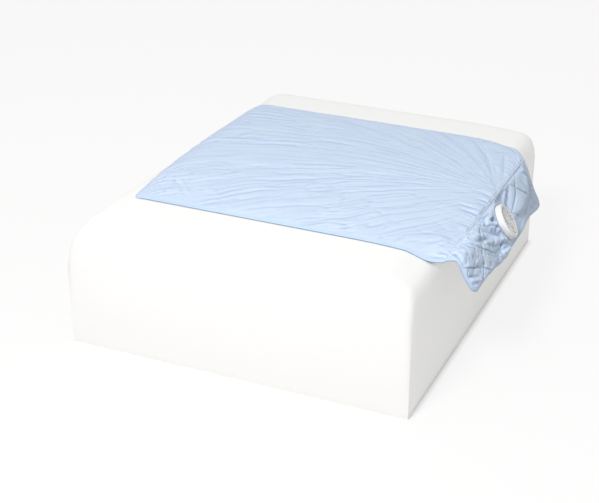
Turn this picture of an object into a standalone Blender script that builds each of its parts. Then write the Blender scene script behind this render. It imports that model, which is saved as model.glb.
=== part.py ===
"""Bed cooling mat: a thin air-flow mat with a quilted flap that hangs over the bed's edge and holds a fan."""
import math

import bmesh
import bpy
from mathutils import Matrix, Vector

# Mat, in metres and radians: +X runs across the bed to the fan, +Y towards the pillow
MAT_DEPTH = 0.85
PANEL_LEFT = 0.483
PANEL_RIGHT = 0.538
COVER = 0.0015
CORE = 0.0047
CLEARANCE = 0.0003
HEM_GAP = 0.0006
EDGE_ROLL = 0.045
LEFT_OVERHANG = 0.090
LEFT_DROP_FRONT = 0.005
LEFT_DROP_BACK = 0.052
LEFT_BOW = 0.022
CORNER_PULL = 0.045
RIGHT_OVERHANG = 0.270
SEAM_DROP = 0.016
FRONT_DIP = 0.014
DIP_AT = 0.490
DIP_RUN = 0.075
RIPPLE = 0.0018
RIPPLE_LENGTH = 0.105

# Flap, hanging from the fold seam
FLAP_ROLL = 0.014
FLAP_HEM_ROLL = 0.016
FLAP_SIDE_ROLL = 0.030
SEAM_SLOPE = math.radians(84.0)
FLAP_SLOPE = math.radians(57.0)
HEM_SLOPE = math.radians(86.0)
FAR_SLOPE = math.radians(75.0)
HUMP_SLOPE = math.radians(-20.0)
HUMP_START = 0.022
HUMP_RUN = 0.030
NEAR_SHORT = 0.13
NEAR_RUN = 0.15
NEAR_LOBE = 0.05
LOBE_RUN = 0.12
FAR_LONG = 0.25
FAR_RUN = 0.245
POCKET_DEPTH = 0.0085
POCKET_SHOULDER = 0.075
QUILT_PUFF = 0.0035
QUILT_PITCH = 0.177
QUILT_LEAN = 1.25
QUILT_AT = -0.11

# Fan unit, on an axis square to the flap
FAN_ALONG = -0.008
FAN_YAW = math.radians(9.5)
YAW_RUN = 0.12
FLANGE_RADIUS = 0.0545
FLANGE_WIDTH = 0.0157
RIM_PROUD = 0.0016
BARREL_WALL = 0.0018
CASE_WALL = 0.002
GRILLE_HEIGHT = 0.0086
GASKET = 0.001
CLAMP = 0.003
LEAD_RADIUS = 0.0006
LEAD_SPACE = 0.0022
SCREW_RADIUS = 0.0013
SCREW_HEAD = 0.0028
SLOTS = 24
SLOT_RINGS = ((0.30, 0.43), (0.48, 0.61), (0.66, 0.79))
CONTROL_SECTOR = math.radians(62.0)
CONTROL_SIDE = -0.005
TIP_GAP = 0.0015
BLADES = 7
BLADE_HEIGHT = 0.0115
BLADE_SWEEP = math.radians(40.0)
BLADE_THICKNESS = 0.0016
HUB_RADIUS = 0.017
HUB_WALL = 0.002
HUB_HEIGHT = 0.0145
RUNNING_GAP = 0.0008
PLATE = 0.002
SHAFT_RADIUS = 0.0015
SHAFT_FIT = 0.00009
BEARING_WALL = 0.0015
BOSS_WALL = 0.0013
MAGNET = 0.0015
BOARD = 0.0016
BOARD_WIDTH = 0.020
POST_RADIUS = 0.0018
BUTTON_RADIUS = 0.0065
SPEED_RADIUS = 0.0055
BUTTON_PROUD = 0.0012
BUTTON_TRAVEL = 0.0007
LENS_RADIUS = 0.0015
SOCKET_RADIUS = 0.003
SOCKET_BORE = 0.00225
SOCKET_ANGLE = math.radians(45.0)

# Heights and radii that follow from the sizes above
CORE_LOW = COVER + CLEARANCE
CORE_HIGH = CORE_LOW + CORE
TOP_LOW = CORE_HIGH + CLEARANCE
HEM_LOW = COVER + HEM_GAP
HEM_THICKNESS = HEM_LOW + COVER
SEAM_RADIUS = HEM_THICKNESS / 2
SEAM_REACH = SEAM_RADIUS + CLEARANCE
PANEL_END = PANEL_RIGHT - SEAM_REACH
HALF_DEPTH = MAT_DEPTH / 2
POCKET_RADIUS = FLANGE_RADIUS + 0.0045
FAN_DOWN = FLAP_ROLL + POCKET_RADIUS
FLAP_LENGTH = FAN_DOWN + POCKET_RADIUS + FLAP_HEM_ROLL
REAR = COVER + LEAD_SPACE
SKIN = POCKET_DEPTH + COVER
FLANGE = SKIN + GASKET + 2 * CLEARANCE
CASE_HEIGHT = CASE_WALL + 2 * SOCKET_RADIUS + 0.0024
SPLIT = FLANGE + CASE_HEIGHT
FACE = SPLIT + GRILLE_HEIGHT
FACE_UNDER = FACE - CASE_WALL
BARREL_RADIUS = FLANGE_RADIUS - FLANGE_WIDTH
BORE_RADIUS = BARREL_RADIUS - BARREL_WALL
LEAD_AT = BARREL_RADIUS + 0.0019
HOLE_RADIUS = LEAD_AT + LEAD_RADIUS + 0.0006
CLAMP_RADIUS = FLANGE_RADIUS - 0.003
CORE_HOLE = CLAMP_RADIUS + 0.0008
SCREW_CIRCLE = (HOLE_RADIUS + CLAMP_RADIUS) / 2
SCREW_HOLE = SCREW_RADIUS + 0.0004
CLAMP_LOW = POCKET_DEPTH - CLEARANCE - CLAMP
STEP_RADIUS = FLANGE_RADIUS - CASE_WALL - CLEARANCE
WALL_INSIDE = STEP_RADIUS - 0.0015
PLATE_TOP = REAR + PLATE
BOSS_TOP = REAR + 0.0125
HUB_LOW = PLATE_TOP + RUNNING_GAP
HUB_TOP = HUB_LOW + HUB_HEIGHT
ROOF = HUB_TOP - HUB_WALL
BEARING_RADIUS = SHAFT_RADIUS + BEARING_WALL
BOSS_RADIUS = BEARING_RADIUS + CLEARANCE + BOSS_WALL
MAGNET_RADIUS = HUB_RADIUS - HUB_WALL - CLEARANCE
STATOR_RADIUS = MAGNET_RADIUS - MAGNET - 0.0006
BOARD_LOW = SPLIT + CLEARANCE
BOARD_TOP = BOARD_LOW + BOARD
CAP_LIP = 0.0011
POWER_AT = (BORE_RADIUS - 0.0025, CONTROL_SIDE)
LENS_AT = (POWER_AT[0] - BUTTON_RADIUS - CAP_LIP - LENS_RADIUS - 2 * CLEARANCE, CONTROL_SIDE)
SPEED_AT = (LENS_AT[0] - SPEED_RADIUS - CAP_LIP - LENS_RADIUS - 2 * CLEARANCE, CONTROL_SIDE)
POST_OUT = POWER_AT[0] + BUTTON_RADIUS + CAP_LIP + POST_RADIUS + CLEARANCE
POST_IN = SPEED_AT[0] - SPEED_RADIUS - CAP_LIP - POST_RADIUS - CLEARANCE
STEM_LOW = FACE_UNDER - 0.0018
SWITCH_TOP = STEM_LOW - BUTTON_TRAVEL - CLEARANCE
PLUNGER = 0.4 * (SWITCH_TOP - BOARD_TOP)
SOCKET_HEIGHT = FLANGE + CASE_WALL + SOCKET_RADIUS + 2 * CLEARANCE

for old in list(bpy.data.objects):
    bpy.data.objects.remove(old)


def smooth(t):
    t = min(1.0, max(0.0, t))
    return t * t * (3.0 - 2.0 * t)


def round_over(distance, run):
    """Quarter round from 0 at an edge to 1 a run away from it."""
    t = min(1.0, max(0.0, distance / run))
    return math.sqrt(1.0 - (1.0 - t) ** 2)


def material(name, colour, roughness, metallic=0.0):
    made = bpy.data.materials.new(name)
    made.use_nodes = True
    shader = made.node_tree.nodes["Principled BSDF"]
    shader.inputs["Base Color"].default_value = (*colour, 1.0)
    shader.inputs["Roughness"].default_value = roughness
    shader.inputs["Metallic"].default_value = metallic
    return made


def add(name, bm, mat, parent=None):
    mesh = bpy.data.meshes.new(name)
    bm.to_mesh(mesh)
    bm.free()
    made = bpy.data.objects.new(name, mesh)
    bpy.context.collection.objects.link(made)
    made.parent = parent
    if mat:
        mesh.materials.append(mat)
    return made


def combine(target, name, bm, operation):
    """Adds or cuts a hidden working body with an exact boolean."""
    tool = add(name, bm, None, target.parent)
    tool.hide_render = True
    tool.display_type = "WIRE"
    step = target.modifiers.new(name, "BOOLEAN")
    step.operation = operation
    step.solver = "EXACT"
    step.object = tool


def spun(profile, steps, closed=True):
    """Body turned about local Z from (radius, height) points; an open profile starts and ends on the axis."""
    bm = bmesh.new()
    points = [bm.verts.new((r, 0.0, z)) for r, z in profile]
    edges = [bm.edges.new(pair) for pair in zip(points, points[1:])]
    if closed:
        edges.append(bm.edges.new((points[-1], points[0])))
    bmesh.ops.spin(bm, geom=points + edges, cent=(0, 0, 0), axis=(0, 0, 1), angle=math.tau,
                   steps=steps, use_merge=True)
    bmesh.ops.remove_doubles(bm, verts=bm.verts[:], dist=1e-6)
    bmesh.ops.recalc_face_normals(bm, faces=bm.faces[:])
    return bm


def tube_ring(inside, outside, low, high, steps=40):
    return spun([(inside, low), (outside, low), (outside, high), (inside, high)], steps)


def rods(places, radius, low, high, steps=12):
    """Upright rods as one body set, for bosses and drilled holes."""
    bm = bmesh.new()
    for x, y in places:
        at = Matrix.Translation((x, y, (low + high) / 2))
        bmesh.ops.create_cone(bm, cap_ends=True, segments=steps, radius1=radius, radius2=radius,
                              depth=high - low, matrix=at)
    return bm


def block(low, high):
    bm = bmesh.new()
    size = Vector(high) - Vector(low)
    middle = (Vector(high) + Vector(low)) / 2
    bmesh.ops.create_cube(bm, size=1.0, matrix=Matrix.Translation(middle) @ Matrix.Diagonal((*size, 1.0)))
    return bm


def tube(path, radius, sides):
    """Round tape or wire along a path, mitred at each point."""
    bm = bmesh.new()
    steps = [(b - a).normalized() for a, b in zip(path, path[1:])]
    across = steps[0].orthogonal().normalized()
    upward = steps[0].cross(across)
    turns = [math.tau * k / sides for k in range(sides)]
    ring = [path[0] + radius * (math.cos(a) * across + math.sin(a) * upward) for a in turns]
    rings = [[bm.verts.new(p) for p in ring]]
    for k, step in enumerate(steps):
        facing = step if k + 1 == len(steps) else (step + steps[k + 1]).normalized()
        ring = [p + step * ((path[k + 1] - p).dot(facing) / step.dot(facing)) for p in ring]
        rings.append([bm.verts.new(p) for p in ring])
    for one, two in zip(rings, rings[1:]):
        for k in range(sides):
            bm.faces.new((one[k], one[k - 1], two[k - 1], two[k]))
    bm.faces.new(rings[0])
    bm.faces.new(rings[-1][::-1])
    bmesh.ops.recalc_face_normals(bm, faces=bm.faces[:])
    return bm


def divide(lines, splits):
    fine = []
    for a, b, n in zip(lines, lines[1:], splits):
        fine += [a + (b - a) * k / n for k in range(n)]
    return fine + [lines[-1]]


def sheet(place, us, vs, low, high, u_splits=None, v_splits=None):
    """Closed layer between two heights over a grid; the upper side may be cut finer than the lower."""
    u_splits = u_splits or [1] * (len(us) - 1)
    v_splits = v_splits or [1] * (len(vs) - 1)
    bm = bmesh.new()
    lower = [[bm.verts.new(place(u, v, low(u, v))) for v in vs] for u in us]
    upper = [[bm.verts.new(place(u, v, high(u, v))) for v in divide(vs, v_splits)] for u in divide(us, u_splits)]
    for grid, turn in ((upper, 1), (lower, -1)):
        for here, there in zip(grid, grid[1:]):
            for j in range(len(here) - 1):
                bm.faces.new((here[j], there[j], there[j + 1])[::turn])
                bm.faces.new((here[j], there[j + 1], here[j + 1])[::turn])
    for k in range(len(us) - 1):
        first = sum(u_splits[:k])
        for j, turn in ((0, 1), (-1, -1)):
            rim = [upper[i][j] for i in range(first, first + u_splits[k] + 1)]
            bm.faces.new(([lower[k][j], lower[k + 1][j]] + rim[::-1])[::turn])
    for k in range(len(vs) - 1):
        first = sum(v_splits[:k])
        for i, turn in ((0, -1), (-1, 1)):
            rim = upper[i][first:first + v_splits[k] + 1]
            bm.faces.new(([lower[i][k], lower[i][k + 1]] + rim[::-1])[::turn])
    return bm


blue_cloth = material("cool_touch_cloth", (0.56, 0.70, 0.88), 0.6)
blue_tape = material("binding_tape", (0.50, 0.64, 0.84), 0.75)
white_mesh = material("spacer_mesh", (0.82, 0.84, 0.86), 0.8)
backing = material("backing_cloth", (0.80, 0.82, 0.85), 0.9)
white_case = material("white_abs", (0.86, 0.86, 0.85), 0.35)
grey_case = material("grey_abs", (0.55, 0.56, 0.58), 0.4)
black_case = material("black_nylon", (0.03, 0.03, 0.035), 0.5)
rubber = material("foam_rubber", (0.05, 0.05, 0.055), 0.9)
steel = material("zinc_steel", (0.62, 0.62, 0.64), 0.3, 1.0)
copper = material("copper_winding", (0.72, 0.36, 0.18), 0.4, 1.0)
bronze = material("sintered_bronze", (0.55, 0.42, 0.24), 0.45, 1.0)
ferrite = material("ferrite_magnet", (0.06, 0.06, 0.065), 0.6)
green_board = material("circuit_board", (0.05, 0.22, 0.10), 0.5)
clear_lens = material("green_lens", (0.62, 0.80, 0.16), 0.15)

# Main panel: backing cloth, spacer core and cool-touch cover, drawn in thin at every edge


def on_panel(u, v, h):
    """Point of the panel, falling past the bed's edges; the left hem bows and the front edge sags by the seam."""
    left = max(0.0, (LEFT_OVERHANG - PANEL_LEFT - u) / LEFT_OVERHANG)
    right = max(0.0, (u - PANEL_END + RIGHT_OVERHANG) / RIGHT_OVERHANG)
    front = 0.5 - v / MAT_DEPTH
    hem_drop = LEFT_DROP_BACK + (LEFT_DROP_FRONT - LEFT_DROP_BACK) * front
    shift = CORNER_PULL * front - LEFT_BOW * (1.0 - (v / HALF_DEPTH) ** 2)
    dip = FRONT_DIP * smooth(1.0 - abs(u - DIP_AT) / DIP_RUN) * smooth(1.0 - (v + HALF_DEPTH) / (2 * EDGE_ROLL))
    return Vector((u + shift * left, v, h - hem_drop * left ** 2 - SEAM_DROP * right ** 2 - dip))


def panel_swell(u, v):
    along = round_over(min(u + PANEL_LEFT, PANEL_END - u), EDGE_ROLL)
    return along * round_over(HALF_DEPTH - abs(v), EDGE_ROLL)


def panel_low(u, v):
    return HEM_LOW + (TOP_LOW - HEM_LOW) * panel_swell(u, v)


def panel_high(u, v):
    """Upper side of the cover, with shallow folds that run across the bed and gather towards the fan."""
    spread = 1.0 - 0.35 * (u + PANEL_LEFT) / (PANEL_LEFT + PANEL_RIGHT)
    phase = math.tau * (v - FAN_ALONG) / (RIPPLE_LENGTH * spread)
    fold = 0.5 + 0.5 * math.sin(phase + 2.2 * math.sin(4.0 * u))
    return panel_low(u, v) + COVER + RIPPLE * fold * panel_swell(u, v)


left_lines = [-PANEL_LEFT + EDGE_ROLL * k for k in (0.0, 0.25, 0.55, 1.0)]
flat_lines = [LEFT_OVERHANG - PANEL_LEFT, PANEL_END - RIGHT_OVERHANG]
right_lines = [PANEL_END - EDGE_ROLL * k for k in (1.0, 0.5, 0.18, 0.0)]
panel_us = divide(left_lines + flat_lines + right_lines, [1, 1, 1, 2, 1, 3, 1, 1, 1])
front_lines = [-HALF_DEPTH + EDGE_ROLL * k for k in (0.0, 0.3, 1.0)]
back_lines = [HALF_DEPTH - EDGE_ROLL * k for k in (1.0, 0.3, 0.0)]
panel_vs = divide([front_lines[0], front_lines[1], front_lines[2], *back_lines], [1, 1, 5, 1, 1])

add("bottom_cover", sheet(on_panel, panel_us, panel_vs, lambda u, v: 0.0, lambda u, v: COVER), backing)
add("spacer_core", sheet(on_panel, panel_us[3:-3], panel_vs[2:-2], lambda u, v: CORE_LOW,
                         lambda u, v: CORE_HIGH), white_mesh)
add("top_cover", sheet(on_panel, panel_us, panel_vs, panel_low, panel_high, [1, 1, 1, 1, 1, 14, 1, 1, 1, 1, 1, 1],
                       [1, 1, 4, 4, 4, 4, 4, 1, 1]), blue_cloth)

front_hem = [on_panel(u, -HALF_DEPTH, SEAM_RADIUS) - Vector((0, SEAM_REACH, 0)) for u in reversed(panel_us[1:])]
left_hem = [on_panel(-PANEL_LEFT, v, SEAM_RADIUS) - Vector((SEAM_REACH, 0, 0)) for v in panel_vs[1:-1]]
back_hem = [on_panel(u, HALF_DEPTH, SEAM_RADIUS) + Vector((0, SEAM_REACH, 0)) for u in panel_us[1:]]
front_corner = on_panel(-PANEL_LEFT, -HALF_DEPTH, SEAM_RADIUS) - Vector((SEAM_REACH, SEAM_REACH, 0))
back_corner = on_panel(-PANEL_LEFT, HALF_DEPTH, SEAM_RADIUS) - Vector((SEAM_REACH, -SEAM_REACH, 0))
panel_path = front_hem + [front_corner] + left_hem + [back_corner] + back_hem
add("panel_binding", tube(panel_path, SEAM_RADIUS, 8), blue_tape)

seam_height = SEAM_RADIUS - SEAM_DROP
seam_ends = [Vector((PANEL_RIGHT, side * (HALF_DEPTH + 2 * SEAM_REACH), seam_height)) for side in (-1, 1)]
add("fold_seam", tube(seam_ends, SEAM_RADIUS, 16), blue_tape)

# Flap: backing, spacer and quilted cover, swollen to a flat seat for the fan


def taper(v):
    """Share of the flap length along the seam: drawn up before the fan, with a corner lobe, longer behind it."""
    drawn = NEAR_SHORT * smooth((2 * NEAR_RUN - HALF_DEPTH - v + LOBE_RUN / 4) / NEAR_RUN)
    lobe = NEAR_LOBE * smooth((LOBE_RUN - HALF_DEPTH - v) / LOBE_RUN)
    return 1.0 - drawn + lobe + FAR_LONG * smooth((v + FAR_RUN - HALF_DEPTH) / FAR_RUN)


def slope(s, v):
    """Angle below level a distance down from the seam; the front end humps up before it falls."""
    near = smooth((FAN_ALONG - POCKET_RADIUS - v) / (HALF_DEPTH + FAN_ALONG - POCKET_RADIUS))
    far = smooth((v - FAN_ALONG - POCKET_RADIUS) / (HALF_DEPTH - FAN_ALONG - POCKET_RADIUS))
    middle = FLAP_SLOPE + (HEM_SLOPE - FLAP_SLOPE) * smooth((s - FAN_DOWN - POCKET_RADIUS) / FLAP_HEM_ROLL)
    middle += (SEAM_SLOPE - middle) * (1.0 - smooth(s / FLAP_ROLL))
    hump = HUMP_SLOPE + (FLAP_SLOPE - HUMP_SLOPE) * smooth((s - HUMP_START) / HUMP_RUN)
    return middle + (hump - middle) * near + (FAR_SLOPE - middle) * far


def pocket(v):
    return 1.0 - smooth((abs(v - FAN_ALONG) - POCKET_RADIUS) / POCKET_SHOULDER)


def turned(s, v):
    """How far the weight of the fan pushes the flap out on its front side and in on its back side."""
    past = abs(v - FAN_ALONG) - POCKET_RADIUS
    below = s - FAN_DOWN - POCKET_RADIUS
    held = smooth(s / FLAP_ROLL) * (1.0 - smooth(below / FLAP_HEM_ROLL)) * (1.0 - smooth(past / YAW_RUN))
    return math.tan(FAN_YAW) * (FAN_ALONG - v) * held


def on_flap(s, v, h):
    """Point a distance down the flap, a distance along the seam and a height above its inner side."""
    length = s * taper(v)
    start = slope(0.0, v)
    x = PANEL_RIGHT + SEAM_REACH * math.cos(start)
    z = seam_height - SEAM_REACH * math.sin(start)
    steps = max(1, math.ceil(length / 0.002))
    for k in range(steps):
        angle = slope(length * (k + 0.5) / steps, v)
        x += math.cos(angle) * length / steps
        z -= math.sin(angle) * length / steps
    angle = slope(length, v)
    upright = 1.0 + (1.0 / math.cos(FAN_YAW) - 1.0) * pocket(v)
    lift = (h - SEAM_RADIUS) * upright + turned(length, v)
    return Vector((x + lift * math.sin(angle), v, z + lift * math.cos(angle)))


def flap_swell(s, v):
    along = min(round_over(s, FLAP_ROLL), round_over(FLAP_LENGTH - s, FLAP_HEM_ROLL))
    return along * round_over(HALF_DEPTH - abs(v), FLAP_SIDE_ROLL)


def flap_low(s, v):
    full = TOP_LOW + (POCKET_DEPTH - TOP_LOW) * pocket(v)
    return HEM_LOW + (full - HEM_LOW) * flap_swell(s, v)


def flap_core_high(s, v):
    return flap_low(s, v) - CLEARANCE


def flap_high(s, v):
    """Upper side of the quilted cover: diamonds puffed between crossed stitch lines, flat under the fan."""
    one = math.sin(math.pi * (v - QUILT_AT + QUILT_LEAN * s) / QUILT_PITCH)
    two = math.sin(math.pi * (v - QUILT_AT - QUILT_LEAN * s) / QUILT_PITCH)
    puff = math.sqrt(abs(one * two)) * (1.0 - pocket(v)) * flap_swell(s, v)
    return flap_low(s, v) + COVER + QUILT_PUFF * puff


flap_ss = divide([0.0, FLAP_ROLL, FAN_DOWN, FAN_DOWN + POCKET_RADIUS, FLAP_LENGTH], [2, 4, 4, 3])
seat = [FAN_ALONG + k * POCKET_RADIUS for k in (-1, 0, 1)]
flap_vs = divide([-HALF_DEPTH, -HALF_DEPTH + 0.4 * FLAP_SIDE_ROLL, -HALF_DEPTH + FLAP_SIDE_ROLL,
                  seat[0] - POCKET_SHOULDER, *seat, seat[2] + POCKET_SHOULDER, HALF_DEPTH - FLAP_SIDE_ROLL,
                  HALF_DEPTH - 0.4 * FLAP_SIDE_ROLL, HALF_DEPTH], [1, 1, 8, 2, 1, 1, 2, 6, 1, 1])

fold_axis = bpy.data.objects.new("fold_axis", None)
fold_axis.location = (PANEL_RIGHT, 0.0, seam_height)
bpy.context.collection.objects.link(fold_axis)
fan_axis = bpy.data.objects.new("fan_axis", None)
fan_axis.location = on_flap(FAN_DOWN, FAN_ALONG, 0.0) - fold_axis.location
fan_axis.rotation_euler = (-FAN_YAW, FLAP_SLOPE, 0.0)
fan_axis.parent = fold_axis
bpy.context.collection.objects.link(fan_axis)


def below_seam(s, v, h):
    return on_flap(s, v, h) - fold_axis.location


def drilled(target, name, bm):
    """Cuts a round pattern set out in the fan's own frame from a flap layer."""
    combine(target, name, bm, "DIFFERENCE")
    bpy.data.objects[name].parent = fan_axis


turns = [math.tau * (k + 0.25) / 4 for k in range(4)]
screw_places = [(SCREW_CIRCLE * math.cos(a), SCREW_CIRCLE * math.sin(a)) for a in turns]

add("flap_inner_cover", sheet(below_seam, flap_ss, flap_vs, lambda s, v: 0.0, lambda s, v: COVER), backing, fold_axis)
flap_core = add("flap_core", sheet(below_seam, flap_ss[2:11], flap_vs[2:-2], lambda s, v: CORE_LOW,
                                   flap_core_high), white_mesh, fold_axis)
drilled(flap_core, "core_hole", rods([(0.0, 0.0)], CORE_HOLE, -SKIN, 2 * SKIN, 40))
flap_cover = add("flap_outer_cover", sheet(below_seam, flap_ss, flap_vs, flap_low, flap_high), blue_cloth, fold_axis)
drilled(flap_cover, "cover_hole", rods([(0.0, 0.0)], HOLE_RADIUS, CORE_LOW, 2 * SKIN, 40))
drilled(flap_cover, "cover_screw_holes", rods(screw_places, SCREW_HOLE, CORE_LOW, 2 * SKIN))

front_side = [below_seam(s, -HALF_DEPTH, SEAM_RADIUS) - Vector((0, SEAM_REACH, 0)) for s in flap_ss[:-1]]
back_side = [below_seam(s, HALF_DEPTH, SEAM_RADIUS) + Vector((0, SEAM_REACH, 0)) for s in reversed(flap_ss[:-1])]


def past_hem(v):
    angle = slope(FLAP_LENGTH * taper(v), v)
    return below_seam(FLAP_LENGTH, v, SEAM_RADIUS) + SEAM_REACH * Vector((math.cos(angle), 0, -math.sin(angle)))


hem = [past_hem(v) for v in flap_vs[1:-1]]
hem_front = past_hem(-HALF_DEPTH) - Vector((0, SEAM_REACH, 0))
hem_back = past_hem(HALF_DEPTH) + Vector((0, SEAM_REACH, 0))
flap_path = front_side + [hem_front] + hem + [hem_back] + back_side
add("flap_binding", tube(flap_path, SEAM_RADIUS, 8), blue_tape, fold_axis)

# Fan mounting: the flap's cover is clamped between a foam gasket and a ring drawn up by four screws

add("gasket", tube_ring(HOLE_RADIUS, FLANGE_RADIUS - 0.001, SKIN + CLEARANCE, SKIN + CLEARANCE + GASKET), rubber,
    fan_axis)
combine(bpy.data.objects["gasket"], "gasket_holes", rods(screw_places, SCREW_HOLE, SKIN, FLANGE), "DIFFERENCE")
clamp_ring = add("clamp_ring", tube_ring(HOLE_RADIUS, CLAMP_RADIUS, CLAMP_LOW, CLAMP_LOW + CLAMP), grey_case, fan_axis)
combine(clamp_ring, "clamp_holes", rods(screw_places, SCREW_HOLE, CLAMP_LOW - 0.001, SKIN), "DIFFERENCE")
for k, (x, y) in enumerate(screw_places):
    head = CLAMP_LOW - CLEARANCE
    screw = spun([(0.0, head - 0.0016), (SCREW_HEAD, head - 0.0016), (SCREW_HEAD, head), (SCREW_RADIUS, head),
                  (SCREW_RADIUS, FLANGE + 0.0055), (0.0, FLANGE + 0.0055)], 10, closed=False)
    add(f"clamp_screw_{k + 1}", screw, steel, fan_axis).location = (x, y, 0.0)

# Fan case: barrel, flange and outer wall in one moulding, with the slotted cover snapped over its stepped rim

floor = FLANGE + CASE_WALL
housing = add("fan_housing", spun([
    (BORE_RADIUS, REAR), (BARREL_RADIUS, REAR), (BARREL_RADIUS, FLANGE), (FLANGE_RADIUS - 0.0015, FLANGE),
    (FLANGE_RADIUS, FLANGE + 0.0015), (FLANGE_RADIUS, SPLIT), (STEP_RADIUS, SPLIT), (STEP_RADIUS, SPLIT + 0.0018),
    (WALL_INSIDE, SPLIT + 0.0018), (WALL_INSIDE, floor), (BARREL_RADIUS, floor), (BARREL_RADIUS, SPLIT),
    (BORE_RADIUS, SPLIT)], 40), white_case, fan_axis)
combine(housing, "screw_bosses", rods(screw_places, SCREW_HOLE + 0.0015, FLANGE + 0.001, FLANGE + 0.0078), "UNION")
combine(housing, "boss_holes", rods(screw_places, SCREW_HOLE, FLANGE - 0.002, FLANGE + 0.0065), "DIFFERENCE")
combine(housing, "lead_hole", rods([(LEAD_AT, 0.0)], LEAD_RADIUS + 0.0004, FLANGE - 0.001, floor + 0.001), "DIFFERENCE")
combine(housing, "socket_hole", rods([(0.0, 0.0)], SOCKET_RADIUS + CLEARANCE, BARREL_RADIUS + 0.004,
                                     FLANGE_RADIUS + 0.004, 20), "DIFFERENCE")
bpy.data.objects["socket_hole"].rotation_euler = (0.0, math.pi / 2, SOCKET_ANGLE)
bpy.data.objects["socket_hole"].location.z = SOCKET_HEIGHT

socket_end = FLANGE_RADIUS + CLEARANCE
socket_back = BARREL_RADIUS + 0.0015
dc_socket = spun([(0.0, socket_back), (SOCKET_RADIUS, socket_back), (SOCKET_RADIUS, socket_end),
                  (SOCKET_BORE, socket_end), (SOCKET_BORE, socket_back + 0.003), (0.001, socket_back + 0.003),
                  (0.001, socket_end - 0.002), (0.0, socket_end - 0.002)], 20, closed=False)
socket = add("dc_socket", dc_socket, black_case, fan_axis)
socket.rotation_euler = (0.0, math.pi / 2, SOCKET_ANGLE)
socket.location.z = SOCKET_HEIGHT


def slotted_cover():
    """Skin of the cover as a polar grid: three rings of short slots in a dished face, none by the buttons."""
    shares = [0.25] + [share for ring in SLOT_RINGS for share in ring] + [0.83]
    rings = [(FLANGE_RADIUS * share, FACE) for share in shares]
    rings += [(0.88 * FLANGE_RADIUS, FACE + RIM_PROUD), (0.94 * FLANGE_RADIUS, FACE + RIM_PROUD / 2)]
    rings += [(0.985 * FLANGE_RADIUS, FACE - RIM_PROUD), (FLANGE_RADIUS, FACE - 3 * RIM_PROUD)]
    rings += [(FLANGE_RADIUS, SPLIT + CLEARANCE)]
    step = math.tau / SLOTS
    angles = []
    for k in range(SLOTS):
        angles += [(k - 0.28) * step, (k + 0.28) * step]
    bm = bmesh.new()
    grid = [[bm.verts.new((r * math.cos(a), r * math.sin(a), z)) for a in angles] for r, z in rings]
    middle = bm.verts.new((0.0, 0.0, FACE))
    for j in range(len(angles)):
        after = (j + 1) % len(angles)
        turn = abs((j // 2) * step)
        by_buttons = min(turn, math.tau - turn) < CONTROL_SECTOR
        bm.faces.new((middle, grid[0][j], grid[0][after]))
        for i in range(len(rings) - 1):
            slotted = j % 2 == 0 and i in (1, 3, 5) and not by_buttons
            if not slotted:
                bm.faces.new((grid[i][j], grid[i + 1][j], grid[i + 1][after], grid[i][after]))
    return bm


grille = add("front_grille", slotted_cover(), white_case, fan_axis)
shell = grille.modifiers.new("shell", "SOLIDIFY")
shell.thickness = CASE_WALL
shell.offset = -1.0
shell.use_even_offset = True
posts = [(POST_OUT, CONTROL_SIDE), (POST_IN, CONTROL_SIDE)]
combine(grille, "board_posts", rods(posts, POST_RADIUS, BOARD_TOP + CLEARANCE, FACE_UNDER + 0.001), "UNION")
combine(grille, "power_hole", rods([POWER_AT], BUTTON_RADIUS + CLEARANCE, FACE_UNDER - 0.001, FACE + 0.002, 24),
        "DIFFERENCE")
combine(grille, "speed_hole", rods([SPEED_AT], SPEED_RADIUS + CLEARANCE, FACE_UNDER - 0.001, FACE + 0.002, 20),
        "DIFFERENCE")
combine(grille, "lens_hole", rods([LENS_AT], LENS_RADIUS + CLEARANCE, FACE_UNDER - 0.001, FACE + 0.002), "DIFFERENCE")

# Controls: a small board held down on the barrel by the cover's posts, two push switches and a light pipe

add("control_board", block((POST_IN - POST_RADIUS, CONTROL_SIDE - BOARD_WIDTH / 2, BOARD_LOW),
                           (POST_OUT + POST_RADIUS, CONTROL_SIDE + BOARD_WIDTH / 2, BOARD_TOP)), green_board, fan_axis)


def button(name, at, radius, mat):
    """Push cap with a retaining flange behind the cover and a stem over its switch."""
    flange = FACE_UNDER - CLEARANCE - FACE
    cap = spun([(0.0, STEM_LOW - FACE), (0.0018, STEM_LOW - FACE), (0.0018, flange - 0.001),
                (radius + CAP_LIP, flange - 0.001), (radius + CAP_LIP, flange), (radius, flange),
                (radius, BUTTON_PROUD - 0.0006), (radius - 0.0006, BUTTON_PROUD),
                (0.0, BUTTON_PROUD - 0.0003)], 24, closed=False)
    add(name, cap, mat, fan_axis).location = (*at, FACE)


def switch(name, at):
    """Square tact switch whose plunger stands up out of its can."""
    half = 0.003
    bm = block((at[0] - half, at[1] - half, BOARD_TOP + CLEARANCE), (at[0] + half, at[1] + half, SWITCH_TOP - PLUNGER))
    bm.faces.ensure_lookup_table()
    top = max(bm.faces, key=lambda face: face.calc_center_median().z)
    bmesh.ops.inset_region(bm, faces=[top], thickness=0.0014)
    raised = bmesh.ops.extrude_discrete_faces(bm, faces=[top])["faces"]
    bmesh.ops.translate(bm, verts=raised[0].verts[:], vec=(0.0, 0.0, PLUNGER))
    add(name, bm, black_case, fan_axis)


button("power_button", POWER_AT, BUTTON_RADIUS, white_case)
button("speed_button", SPEED_AT, SPEED_RADIUS, white_case)
switch("power_switch", POWER_AT)
switch("speed_switch", SPEED_AT)
pipe = spun([(0.0, BOARD_TOP + CLEARANCE), (LENS_RADIUS, BOARD_TOP + CLEARANCE), (LENS_RADIUS, FACE),
             (0.0, FACE + 0.0004)], 12, closed=False)
add("led_lens", pipe, clear_lens, fan_axis).location = (*LENS_AT, 0.0)

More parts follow.
